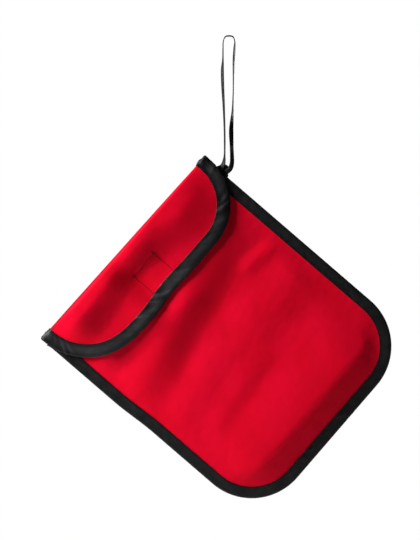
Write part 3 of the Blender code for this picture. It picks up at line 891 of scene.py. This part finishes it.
def made_by_nodes(name, tree, points, edges, vectors, sizes, material):
    """Runs a tree on loose points or edges that carry vectors, and keeps its plain mesh."""
    source_mesh = bpy.data.meshes.new(name + " source")
    source_mesh.from_pydata([tuple(p) for p in points], edges, [])
    for label, values in vectors.items():
        layer = source_mesh.attributes.new(label, "FLOAT_VECTOR", "POINT")
        layer.data.foreach_set("vector", np.asarray(values, np.float32).ravel())
    source = bpy.data.objects.new(name + " source", source_mesh)
    bpy.context.scene.collection.objects.link(source)
    modifier = source.modifiers.new("nodes", "NODES")
    modifier.node_group = tree
    sockets = {s.name: s.identifier for s in tree.interface.items_tree if s.in_out == "INPUT"}
    for label, value in sizes.items():
        modifier[sockets[label]] = value
    modifier[sockets["Material"]] = material
    graph = bpy.context.evaluated_depsgraph_get()
    mesh = bpy.data.meshes.new_from_object(source.evaluated_get(graph))
    mesh.name = name
    if not mesh.materials:
        mesh.materials.append(material)
    piece = bpy.data.objects.new(name, mesh)
    bpy.context.scene.collection.objects.link(piece)
    source.modifiers.remove(modifier)
    bpy.data.objects.remove(source)
    bpy.data.meshes.remove(source_mesh)
    return piece


def stitched(name, tree, runs, material, spacing=0.0031, length=0.0024, thickness=0.00042):
    """Stitches along one or more runs; a run is (points, outward), both in the shared frame."""
    points, outward, edges = [], [], []
    for run, out in runs:
        first = len(points)
        points += list(run)
        outward += list(out)
        edges += [(i, i + 1) for i in range(first, len(points) - 1)]
    sizes = {"Spacing": spacing, "Length": length, "Thickness": thickness}
    return made_by_nodes(name, tree, points, edges, {"outward": outward}, sizes, material)


def same_out(points, out):
    """A run in the pouch's frame whose surface faces one way, in the shared frame."""
    return to_world(points), np.tile(np.array(out, float), (len(points), 1))


# ---------------------------------------------------------------- cloth pieces


def panel_cloth_grid(top):
    """Grids of x and z for the cloth of a panel, from its top edge to inside the side tape."""
    low, half = BOTTOM + PANEL_INSET, HALF_WIDTH - PANEL_INSET
    return panel_grid(top, low, half, (CORNER_RADIUS - PANEL_INSET,) * 2)


def make_back_panel(looks):
    x, z = panel_cloth_grid(-0.0055)
    y = back_face(x, z)
    y[0] -= 0.0002
    points, uv = np.stack([x + side_shift(x, z), y, z], -1), np.stack([x, z], -1)
    piece = cloth_piece("back_panel_cloth", points, uv, looks["red"], THROUGH)
    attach(piece, "pouch")
    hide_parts("back_panel")
    return piece


def make_front_panel(looks):
    x, z = panel_cloth_grid(MOUTH_Z - 0.0009)
    points = np.stack([x + side_shift(x, z), front_face(x, z), z], -1)
    uv = np.stack([x, z], -1)
    piece = cloth_piece("front_panel_cloth", points, uv, looks["red"], -THROUGH)
    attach(piece, "pouch")
    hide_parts("front_panel")
    return piece


def blend_at_fold(piece):
    """Bakes the piece's placement into its points."""
    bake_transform(piece)


def make_flap(looks):
    half = FLAP_HALF - FLAP_INSET
    bottom = ROLL_LENGTH + (FOLD_AXIS_Z - FLAP_BOTTOM) - FLAP_INSET
    rows = int(bottom / FLAP_ROW_STEP)
    columns = int(2 * half / CLOTH_STEP) + 1
    run = np.linspace(-0.002, bottom, rows)[:, None] * np.ones(columns)
    left = -side_x(-run, half, -bottom, FLAP_CORNER_FAR_SIDE - FLAP_INSET)
    right = side_x(-run, half, -bottom, FLAP_CORNER_LOOP_SIDE - FLAP_INSET)
    x = mix(left, right, np.linspace(0, 1, columns))
    run = run - flap_edge_wave(x) * ease((run - 0.04) / 0.02)
    outer, inner = flap_surface(x, run), flap_surface(x, run, -CLOTH)
    uv = np.stack([x, run], -1)
    piece = sheet_between("flap_cloth", outer, inner, uv, looks["flap red, fold shaded"])
    blend_at_fold(piece)
    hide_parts("flap_panel")
    return piece


# ---------------------------------------------------------------- folded tape


def tape_wrinkles(distance, across, seed, depth):
    """Creases that slant across a tape, in patches."""
    slanted = distance - 0.9 * across
    patches = ease(ripple(distance, 0 * across, 0.030, seed) * 1.6 + 0.50)
    return depth * patches * ripple(slanted, across * 0.25, 0.0036, seed + 3)


TAPE_ACROSS = (1.0, 0.996, 0.988, 0.93, 0.82, 0.68, 0.52, 0.36, 0.22, 0.11, 0.045, 0.0)
TURN_POINTS = 5


def tape_shell(near, far):
    """Front face, turn over the edge and back face of a folded tape, as rings of points."""
    centre = (near[:, -1] + far[:, -1]) / 2
    half = (near[:, -1] - far[:, -1]) / 2
    reach = unit(near[:, -1] - near[:, -4]) * np.linalg.norm(half, axis=1, keepdims=True)
    turn = [
        centre + half * math.cos(angle) + reach * math.sin(angle)
        for angle in np.linspace(0, math.pi, TURN_POINTS + 2)[1:-1]
    ]
    return np.concatenate([near, np.stack(turn, 1), far[:, ::-1]], 1)


def folded_tape(name, outline, width, faces, material, seed, crown=0.00025, depth=0.0004):
    """Tape folded over an edge; each of its faces gives a point from (u, v, how far it is raised)."""
    (path, inward), (front, back) = outline, faces
    across = width * np.array(TAPE_ACROSS)
    path_points = path[:, None, :] + inward[:, None, :] * across[None, :, None]
    u, v = path_points[..., 0], path_points[..., 1]
    along = lengths_along(path)[:, None] + 0 * u
    q = across[None, :] + 0 * u
    arch = TAPE + EASE_GAP + crown * np.sin(np.pi * np.clip(q / width, 0, 1)) ** 0.7
    creases = tape_wrinkles(along, q, seed, depth)
    rise_front = arch + creases * bump(q - width / 2, width)
    rise_back = arch + tape_wrinkles(along, q, seed + 50, depth * 0.12)
    rise_front[:, 0] -= TAPE * 0.8
    rise_back[:, 0] -= TAPE * 0.8
    outside = tape_shell(front(u, v, rise_front), back(u, v, rise_back))
    inner_front, inner_back = rise_front - TAPE * 0.9, rise_back - TAPE * 0.9
    inside = tape_shell(front(u, v, inner_front), back(u, v, inner_back))
    inside[:, 0] = outside[:, 0] + (inside[:, 1] - outside[:, 0]) * 0.3
    inside[:, -1] = outside[:, -1] + (inside[:, -2] - outside[:, -1]) * 0.3
    rings = np.concatenate([outside, inside[:, ::-1]], 1)
    section = lengths_along(rings[0])
    uv = np.stack([along[:, :1] + 0 * section[None, :], section[None, :] + 0 * along[:, :1]], -1)
    return lofted_piece(name, rings, uv, material)


def pouch_outline():
    """Path down the loop side, round the bottom and up the far side, with inward normals."""
    centre_x, centre_z = HALF_WIDTH - CORNER_RADIUS, BOTTOM + CORNER_RADIUS
    path = [(HALF_WIDTH, SIDE_TAPE_TOP)]
    path += list(arc((centre_x, centre_z), CORNER_RADIUS, 0, -90))
    path += list(arc((-centre_x, centre_z), CORNER_RADIUS, -90, -180))
    path.append((-HALF_WIDTH, SIDE_TAPE_TOP))
    inward = [(-1.0, 0.0)] + [tuple(-p) for p in arc((0, 0), 1.0, 0, -90)]
    inward += [tuple(-p) for p in arc((0, 0), 1.0, -90, -180)] + [(1.0, 0.0)]
    both = respaced(np.concatenate([path, inward], 1), TAPE_STEP, places=2)
    return both[:, :2], unit(both[:, 2:])


def side_point(face, sign):
    """Point of a side face of the pouch, raised out of it."""

    def placed(x, z, rise):
        return np.stack([x + side_shift(x, z), face(x, z) + sign * rise, z], -1)

    return placed


def flap_front(x, run, rise):
    """Point of the flap tape's front, raised out of the cloth."""
    return flap_surface(x, run, rise + FLAP_TAPE_FRONT_ROOM)


def flap_back(x, run, rise):
    """Point of the flap tape's back, raised out of the cloth's inner face."""
    return flap_surface(x, run, -CLOTH - rise - FLAP_TAPE_BACK_ROOM)


def make_side_tape(looks, stitches):
    path, inward = pouch_outline()
    faces = side_point(front_face, -1), side_point(lower_back_face, 1)
    piece = folded_tape(
        "side_binding_tape", (path, inward), SIDE_TAPE_WIDTH, faces, looks["tape"], 61.0
    )
    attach(piece, "pouch")
    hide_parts("pouch_binding")
    seam = path + inward * (SIDE_TAPE_WIDTH - SEAM_INSET)
    for name, point, out, node in (
        ("side_seam_front_stitches", faces[0], -THROUGH, "pouch_binding_needle_thread"),
        ("side_seam_back_stitches", faces[1], THROUGH, "pouch_binding_bobbin_thread"),
    ):
        run = same_out(point(seam[:, 0], seam[:, 1], TAPE + EASE_GAP + THREAD_LIFT), out)
        sewn = stitched(name, stitches, [run], looks["thread"])
        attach(sewn, "pouch")
        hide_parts(node)


def lower_back_face(x, z):
    """The back face where the side tape lies, held flat near the fold."""
    return np.minimum(back_face(x, z), ROLL_BACK_RADIUS)


def make_flap_tape(looks, stitches):
    faces = flap_front, flap_back
    piece = folded_tape(
        "flap_binding_tape", flap_outline(0.0), FLAP_TAPE_WIDTH, faces, looks["flap tape"], 83.0,
        crown=0.0004, depth=0.0019,
    )
    blend_at_fold(piece)
    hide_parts("flap_binding")
    seam = flap_outline(FLAP_TAPE_WIDTH - SEAM_INSET)[0][4:-4]
    low = flap_surface(seam[:, 0], seam[:, 1], TAPE + EASE_GAP + 0.0003)
    high = flap_surface(seam[:, 0], seam[:, 1], TAPE + EASE_GAP + 0.0013)
    run = to_world(low), unit(to_world(high) - to_world(low))
    sewn = stitched("flap_seam_stitches", stitches, [run], looks["thread"])
    blend_at_fold(sewn)
    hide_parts("flap_binding_thread")


def make_mouth_tape(looks, stitches):
    half = MOUTH_HIGH[0] + 0.004
    x = np.linspace(half, -half, 130)
    path = np.stack([x, np.full_like(x, MOUTH_Z)], -1)
    inward = np.tile((0.0, -1.0), (len(x), 1))

    def front(u, v, rise):
        return np.stack([u, front_face(u, v) - rise, v], -1)

    def back(u, v, rise):
        return np.stack([u, front_face(u, v) + CLOTH + rise, v], -1)

    piece = folded_tape(
        "mouth_binding_tape", (path, inward), MOUTH_TAPE_WIDTH, (front, back), looks["tape"], 97.0,
        crown=0.0002,
    )
    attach(piece, "pouch")
    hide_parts("mouth_binding")
    seam = path + inward * (MOUTH_TAPE_WIDTH - SEAM_INSET)
    run = same_out(front(seam[:, 0], seam[:, 1], TAPE + EASE_GAP + THREAD_LIFT), -THROUGH)
    sewn = stitched("mouth_seam_stitches", stitches, [run], looks["thread"])
    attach(sewn, "pouch")
    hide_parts("mouth_binding_thread")


# ---------------------------------------------------------------- hook and loop patches


PATCH_LIFT = 0.0009
PATCH_THICKNESS = 0.0008


def patch_grid(low, high, step, margin):
    """Grids of x and z over a patch, in from its edges."""
    columns = int((high[0] - low[0] - 2 * margin) / step) + 1
    rows = int((high[2] - low[2] - 2 * margin) / step) + 1
    x = np.linspace(low[0] + margin, high[0] - margin, columns)
    z = np.linspace(high[2] - margin, low[2] + margin, rows)
    return np.meshgrid(x, z)


def box_run(low, high, inset, surface, overrun=0.0):
    """Four sides of a rectangle of stitches, each a run of points on a surface."""
    left, right = low[0] + inset, high[0] - inset
    bottom, top = low[2] + inset, high[2] - inset
    corners = [(left, top), (right, top), (right, bottom), (left, bottom)]
    runs = []
    for (ax, az), (bx, bz) in zip(corners, corners[1:] + corners[:1]):
        reach = overrun / max(math.hypot(bx - ax, bz - az), 1e-9)
        t = np.linspace(-reach, 1 + reach, 24)
        runs.append(surface(mix(ax, bx, t), mix(az, bz, t)))
    return runs


def on_front(u, v, rise):
    """Point over the front panel, raised out of it."""
    return np.stack([u, front_face(u, v) - rise, v], -1)


def under_flap(u, v, off):
    """Point of the closed flap at a height of the pouch's frame, out of its outer face."""
    return flap_surface(u, ROLL_LENGTH + FOLD_AXIS_Z - v, off)


def make_loop_patch(looks, stitches, hooks):
    low, high = node_box("loop_patch")
    x, z = patch_grid(low, high, 0.002, 0.0)
    backing = cloth_piece(
        "loop_patch_backing", on_front(x, z, PATCH_LIFT), np.stack([x, z], -1), looks["pile"],
        -THROUGH, PATCH_THICKNESS,
    )
    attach(backing, "pouch")
    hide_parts("loop_patch")
    x, z = patch_grid(low, high, 0.00095, 0.0022)
    shift = np.random.default_rng(17).uniform(-0.0004, 0.0004, (2, x.size))
    points = to_world(on_front(x.ravel() + shift[0], z.ravel() + shift[1], PATCH_LIFT))
    turn = np.random.default_rng(19).uniform(0, 2 * math.pi, x.size)
    lean = np.outer(np.cos(turn), ACROSS) + np.outer(np.sin(turn), ALONG)
    vectors = {"outward": np.tile(-THROUGH, (x.size, 1)), "lean": lean}
    sizes = {"Height": 0.0006, "Thickness": 0.00008, "Reach": 0.0009}
    pile = made_by_nodes("loop_patch_pile", hooks, points, [], vectors, sizes, looks["pile"])
    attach(pile, "pouch")
    runs = box_run(low, high, 0.0013, lambda u, v: same_out(on_front(u, v, 0.0010), -THROUGH))
    sewn = stitched("loop_patch_stitches", stitches, runs, looks["thread"], 0.0026, 0.0020)
    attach(sewn, "pouch")
    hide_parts("loop_patch_thread")


def make_hook_patch(looks, stitches, hooks):
    low, high = node_box("hook_patch")
    x, z = patch_grid(low, high, 0.002, 0.0)
    backing = cloth_piece(
        "hook_patch_backing", under_flap(x, z, -CLOTH - PATCH_LIFT), np.stack([x, z], -1),
        looks["hooks"], THROUGH, PATCH_THICKNESS,
    )
    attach(backing, "flap")
    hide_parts("hook_patch")
    x, z = patch_grid(low, high, 0.00125, 0.0024)
    points = to_world(under_flap(x.ravel(), z.ravel(), -CLOTH - PATCH_LIFT))
    side = np.where(np.arange(x.size) % 2 == 0, 1.0, -1.0)
    vectors = {"outward": np.tile(THROUGH, (x.size, 1)), "lean": np.outer(side, ALONG)}
    sizes = {"Height": 0.0007, "Thickness": 0.0001, "Reach": 0.0006}
    bent = made_by_nodes("hook_patch_hooks", hooks, points, [], vectors, sizes, looks["hooks"])
    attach(bent, "flap")

    def on_flap(u, v):
        return same_out(under_flap(u, v, 0.00010), -THROUGH)

    runs = box_run(low, high, 0.0, on_flap, overrun=0.0016)
    sewn = stitched(
        "hook_patch_stitches", stitches, runs, looks["dark red thread"], 0.0027, 0.0024, 0.00070
    )
    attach(sewn, "flap")
    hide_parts("hook_patch_thread")


# ---------------------------------------------------------------- ribbon loop


SEWN_X = HALF_WIDTH - 0.0085


def flat_strip(name, path, sideways, width, thickness, material):
    """Strip with rounded edges along a path; sideways is the direction of its width at each point."""
    tangents = unit(np.gradient(path, axis=0))
    sideways = unit(sideways - tangents * np.sum(sideways * tangents, axis=1, keepdims=True))
    flat = np.cross(tangents, sideways)
    width = np.broadcast_to(width, (len(path),))[:, None]
    section = [(-0.5, -0.25), (-0.46, -0.5), (-0.25, -0.5), (0.0, -0.5), (0.25, -0.5), (0.46, -0.5)]
    section += [(-a, -b) for a, b in section]
    rings = [path + sideways * width * a + flat * thickness * b for a, b in section]
    along = np.tile(lengths_along(path)[:, None], (1, len(section)))
    uv = np.stack([along, width * np.array([a for a, _ in section])], -1)
    return lofted_piece(name, np.stack(rings, 1), uv, material, world=True)


def ribbon_route():
    """The ribbon's way round: each point's position, and how far it is turned from edge-on.

    It starts at a sewn end, goes up the left strand, over the peg, down the right strand and to
    the other sewn end. The turn is in degrees.
    """
    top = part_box("hanging_loop")[1].z - 0.00035
    end_left = to_world((SEWN_X, 0.0024, -0.0205))
    end_right = to_world((SEWN_X, 0.0026, -0.0285))
    route = [
        (end_left, 90), ((-0.0128, 0.0022, -0.1322), 90), ((-0.0090, 0.0012, -0.1298), 88),
        ((-0.0064, 0.0006, -0.1268), 55), ((-0.0052, 0.0003, -0.1225), 30), ((-0.0047, 0.0, -0.1165), 9),
        ((-0.0046, 0.0, -0.1050), 9), ((-0.0048, 0.0, -0.0900), 10), ((-0.0056, 0.0, -0.0680), 17),
        ((-0.0066, 0.0, -0.0480), 27), ((-0.0069, 0.0, -0.0330), 27), ((-0.0064, 0.0, -0.0230), 8),
        ((-0.0063, 0.0, -0.0120), 3), ((-0.0060, 0.0, -0.0050), 2), ((-0.0041, 0.0, -0.0006), 2),
        ((-0.0004, 0.0, top), 2), ((0.0036, 0.0, -0.0006), 3), ((0.0054, 0.0, -0.0055), 6),
        ((0.0050, 0.0, -0.0130), 17), ((0.0043, 0.0, -0.0240), 17), ((0.0040, 0.0, -0.0400), 7),
        ((0.0038, 0.0, -0.0560), 4), ((0.0032, 0.0, -0.0740), 16), ((0.0020, 0.0, -0.0880), 48),
        ((0.0018, 0.0, -0.0960), 60), ((0.0022, 0.0, -0.1080), 44), ((0.0026, 0.0, -0.1190), 48),
        ((0.0024, 0.0003, -0.1255), 58), ((0.0006, 0.0006, -0.1306), 78),
        ((-0.0032, 0.0012, -0.1340), 90), ((-0.0072, 0.0024, -0.1370), 90), (end_right, 90),
    ]
    return np.array([(*position, turn) for position, turn in route], float)


def make_ribbon(looks):
    path = smooth_path(ribbon_route(), 0.0010)
    path, turns = path[:, :3], np.radians(path[:, 3])[:, None]
    tangents = unit(np.gradient(path, axis=0))
    edge_on = unit(THROUGH - tangents * (tangents @ THROUGH)[:, None])
    in_plane = np.cross(tangents, edge_on)
    sideways = edge_on * np.cos(turns) + in_plane * np.sin(turns)
    piece = flat_strip("hanging_ribbon", path, sideways, 0.005, 0.0010, looks["ribbon"])
    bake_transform(piece)
    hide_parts("hanging_loop", "hanging_loop_ends")


def make_ribbon_end(looks, stitches):
    """The ribbon's doubled end, gathered behind the side tape, and the tack sewn through it."""
    out = HALF_WIDTH + np.array((-0.0090, -0.0010, 0.0030, 0.0060, 0.0085))
    back = np.array((0.0037, 0.0036, 0.0029, 0.0025, 0.0023))
    down = np.array((-0.0250, -0.0252, -0.0258, -0.0266, -0.0283))
    breadth = np.array((0.0165, 0.0165, 0.0145, 0.0115, 0.0060))
    rows = smooth_path(np.stack([out, back, down, breadth], -1), 0.0008)
    sideways = np.tile(ALONG, (len(rows), 1))
    path = to_world(rows[:, :3])
    doubled = flat_strip("ribbon_end_fold", path, sideways, rows[:, 3], 0.0011, looks["ribbon"])
    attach(doubled, "pouch")
    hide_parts("hanging_loop_ends")

    runs = []
    for row in range(5):
        x = HALF_WIDTH - 0.0078 + 0.00075 * row
        z = np.linspace(-0.0165, -0.0320, 30)
        sway = 0.0002 * np.sin(np.linspace(0, 9, 30) + row)
        points = np.stack([x + sway, np.full(30, 0.0043), z], -1)
        runs.append(same_out(points, THROUGH))
    sewn = stitched("ribbon_bar_tack", stitches, runs, looks["thread"], 0.0011, 0.0012, 0.0004)
    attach(sewn, "pouch")
    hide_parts("hanging_loop_bar_tack")


# ---------------------------------------------------------------- blanket

RUNS_ACROSS = 5
LAYERS_PER_RUN = 4
LAYER = 0.00046
RUN_GAP = 0.00004
TAB_SET_BACK = 0.0004


def serpentine(count, length, pitch, samples, turn_samples):
    """Zigzag of runs joined by half circles: (position along, height, distance) per point."""
    radius = pitch / 2
    along, height = [], []
    for run in range(count):
        ends = (0.0, length) if run % 2 == 0 else (length, 0.0)
        along += list(np.linspace(*ends, samples))
        height += [run * pitch] * samples
        if run < count - 1:
            sign = 1.0 if run % 2 == 0 else -1.0
            for angle in np.linspace(0, math.pi, turn_samples + 2)[1:-1]:
                along.append(ends[1] + sign * radius * math.sin(angle))
                height.append(run * pitch + radius * (1 - math.cos(angle)))
    along, height = np.array(along), np.array(height)
    distance = lengths_along(np.stack([along, height], -1))
    return along, height, distance


def cad_thickness(node):
    """Function that gives the back and front face of a CAD solid at (x, z)."""
    mesh = frame["nodes"][node].data
    points = [tuple(p) for p in node_points(node)]
    tree = BVHTree.FromPolygons(points, [tuple(p.vertices) for p in mesh.polygons])

    def faces(x, z):
        found = []
        for a, b in zip(np.ravel(x), np.ravel(z)):
            near = tree.ray_cast(Vector((a, -1.0, b)), Vector((0, 1, 0)))[0]
            far = tree.ray_cast(Vector((a, 1.0, b)), Vector((0, -1, 0)))[0]
            found.append((near.y, far.y) if near and far else (0.0, 0.0))
        found = np.array(found)
        return found[:, 0].reshape(np.shape(x)), found[:, 1].reshape(np.shape(x))

    return faces


def make_blanket(looks):
    """The glass cloth: folded in four along its length, then in five across."""
    low, high = node_box("blanket")
    width, height = high[0] - low[0] - 0.003, high[2] - low[2] - 0.002
    run_pitch = LAYER * LAYERS_PER_RUN + RUN_GAP
    across, level, u = serpentine(RUNS_ACROSS, width, run_pitch, 14, 7)
    down, offset, v = serpentine(LAYERS_PER_RUN, height, LAYER, 16, 5)
    offset = offset - LAYER * (LAYERS_PER_RUN - 1) / 2
    centre = np.stack([across, level], -1)
    tangent = unit(np.gradient(centre, axis=0))
    normal = np.stack([-tangent[:, 1], tangent[:, 0]], -1)
    x = centre[None, :, 0] + normal[None, :, 0] * offset[:, None]
    stack = centre[None, :, 1] + normal[None, :, 1] * offset[:, None]
    z = (high[2] - 0.001 - down)[:, None] + 0 * x
    full = run_pitch * RUNS_ACROSS - RUN_GAP
    share = np.clip((stack + run_pitch / 2) / full, 0, 1)
    x = x - width / 2
    fit = side_x(z, 0.5 * width, low[2] - 0.001, 0.024) / (0.5 * width)
    x = x * fit + (low[0] + high[0]) / 2
    solid = cad_thickness("blanket")
    inside_x = np.clip(x, low[0] + 0.0006, high[0] - 0.0006)
    inside_z = np.clip(z, low[2] + 0.0006, high[2] - 0.0006)
    near, far = solid(inside_x, inside_z)
    near = np.maximum(near, -front_out(x, inside_z) + CLOTH)
    far = np.minimum(far, back_face(x, inside_z) - CLOTH)
    spare = 0.0004
    y = mix(near + spare, far - spare, share)
    near_top = ease((z - high[2] + 0.05) / 0.05)
    z = z + 0.0012 * ripple(u[None, :] + 0 * x, share * 0.3, 0.05, 71.0) * near_top
    z = np.minimum(z, high[2] - 0.0002)
    points = to_world(np.stack([x, y, z], -1).reshape(-1, 3))
    uv = np.stack([u[None, :] + 0 * x, v[:, None] + 0 * x], -1).reshape(-1, 2)
    faces = grid_faces(*x.shape)
    piece = build_mesh("folded_blanket", points, faces, uv, looks["glass"], closed=False)
    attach(piece, "blanket")
    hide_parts("blanket")
    return piece


def make_pull_tabs(looks, stitches):
    """Webbing tabs on the blanket, a little behind their solids, with a crossed box of stitches."""
    pieces = []
    for side in ("left", "right"):
        low, high = node_box(f"pull_tab_{side}")
        middle = np.full(60, (low[0] + high[0]) / 2)
        z = np.linspace(high[2] - 0.0003, low[2] + 0.0003, 60)
        near, far = cad_thickness(f"pull_tab_{side}")(middle, z)
        near, far = near + TAB_SET_BACK, far + TAB_SET_BACK
        path = to_world(np.stack([middle, (near + far) / 2, z], -1))
        strap = flat_strip(
            f"pull_tab_webbing_{side}", path, np.tile(ACROSS, (60, 1)), high[0] - low[0], 0.0011,
            looks["webbing"],
        )
        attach(strap, "blanket")
        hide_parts(f"pull_tab_{side}")

        def on_strap(u, v):
            y = np.interp(v, z[::-1], near[::-1]) - 0.00005
            return same_out(np.stack([u, y, v], -1), -THROUGH)

        box_low, box_high = node_box(f"pull_tab_thread_{side}")
        runs = box_run(box_low, box_high, 0.0, on_strap)
        for flip in (False, True):
            t = np.linspace(0, 1, 30)
            x = mix(box_low[0], box_high[0], 1 - t if flip else t)
            runs.append(on_strap(x, mix(box_low[2], box_high[2], t)))
        sewn = stitched(f"pull_tab_stitches_{side}", stitches, runs, looks["thread"], 0.0026, 0.0020)
        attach(sewn, "blanket")
        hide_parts(f"pull_tab_thread_{side}")
        pieces += [strap, sewn]
    return pieces


# ---------------------------------------------------------------- studio


def glowing_material(name, colour, strength):
    material, _, shader = new_material(name, colour, 0.9, specular=0.1)
    shader.inputs["Emission Color"].default_value = (1.0, 1.0, 1.0, 1.0)
    shader.inputs["Emission Strength"].default_value = strength
    return material


def make_stage():
    """Pale floor below the hanging pouch, and a white surround that only the camera sees."""
    edit = bmesh.new()
    bmesh.ops.create_circle(edit, cap_ends=True, segments=96, radius=0.9)
    mesh = bpy.data.meshes.new("floor")
    edit.to_mesh(mesh)
    edit.free()
    mesh.materials.append(glowing_material("pale floor", (0.85, 0.85, 0.85), 0.35))
    floor = bpy.data.objects.new("floor", mesh)
    floor.location = (CAD_BOX[0].x / 2, 0.0, CAD_BOX[0].z - 0.50)
    bpy.context.scene.collection.objects.link(floor)

    edit = bmesh.new()
    bmesh.ops.create_icosphere(edit, subdivisions=4, radius=8.0)
    mesh = bpy.data.meshes.new("surround")
    edit.to_mesh(mesh)
    edit.free()
    mesh.materials.append(glowing_material("white surround", (0.0, 0.0, 0.0), 1.0))
    surround = bpy.data.objects.new("surround", mesh)
    surround.visible_diffuse = False
    surround.visible_glossy = False
    surround.visible_shadow = False
    surround.visible_transmission = False
    bpy.context.scene.collection.objects.link(surround)


def add_light(name, direction, distance, size, watts):
    """Square soft light that looks back at the pouch from a direction."""
    data = bpy.data.lights.new(name, "AREA")
    data.shape = "SQUARE"
    data.size = size
    data.energy = watts
    light = bpy.data.objects.new(name, data)
    aim = Vector(to_world((0.0, 0.0, BOTTOM / 2)))
    away = Vector(direction).normalized()
    light.location = aim + away * distance
    light.rotation_mode = "QUATERNION"
    light.rotation_quaternion = away.to_track_quat("Z", "Y")
    bpy.context.scene.collection.objects.link(light)
    return light


def make_lights():
    world = bpy.data.worlds.new("studio")
    world.use_nodes = True
    background = world.node_tree.nodes["Background"]
    background.inputs[0].default_value = (1.0, 1.0, 1.0, 1.0)
    background.inputs[1].default_value = 0.03
    bpy.context.scene.world = world
    add_light("key", (-0.822, -0.260, 0.507), 1.4, 0.42, 47.0)
    add_light("fill", (0.25, -1.0, 0.35), 1.8, 1.2, 0.4)
    gloss = add_light("low gloss", (0.75, -0.35, -0.55), 1.4, 0.7, 1.6)
    gloss.visible_diffuse = False
    add_light("back fill", (0.6, 1.0, 0.5), 1.8, 1.2, 16.0)


def make_camera():
    """Long lens, level, looking along +Y."""
    data = bpy.data.cameras.new("camera")
    data.lens = 100.0
    data.sensor_width = 36.0
    camera = bpy.data.objects.new("camera", data)
    camera.location = (-0.0191, -1.478, -0.2303)
    camera.rotation_euler = (math.pi / 2, 0.0, 0.0)
    bpy.context.scene.collection.objects.link(camera)
    bpy.context.scene.camera = camera


def main():
    scene = bpy.context.scene
    scene.view_settings.view_transform = "Standard"
    make_camera()
    make_lights()
    make_stage()
    looks = make_materials()
    stitches, hooks = stitch_tree(), hook_tree()
    back = make_back_panel(looks)
    front = make_front_panel(looks)
    flap = make_flap(looks)
    make_side_tape(looks, stitches)
    make_flap_tape(looks, stitches)
    make_mouth_tape(looks, stitches)
    make_loop_patch(looks, stitches, hooks)
    make_hook_patch(looks, stitches, hooks)
    make_ribbon(looks)
    make_ribbon_end(looks, stitches)
    blanket = make_blanket(looks)
    tabs = make_pull_tabs(looks, stitches)


main()
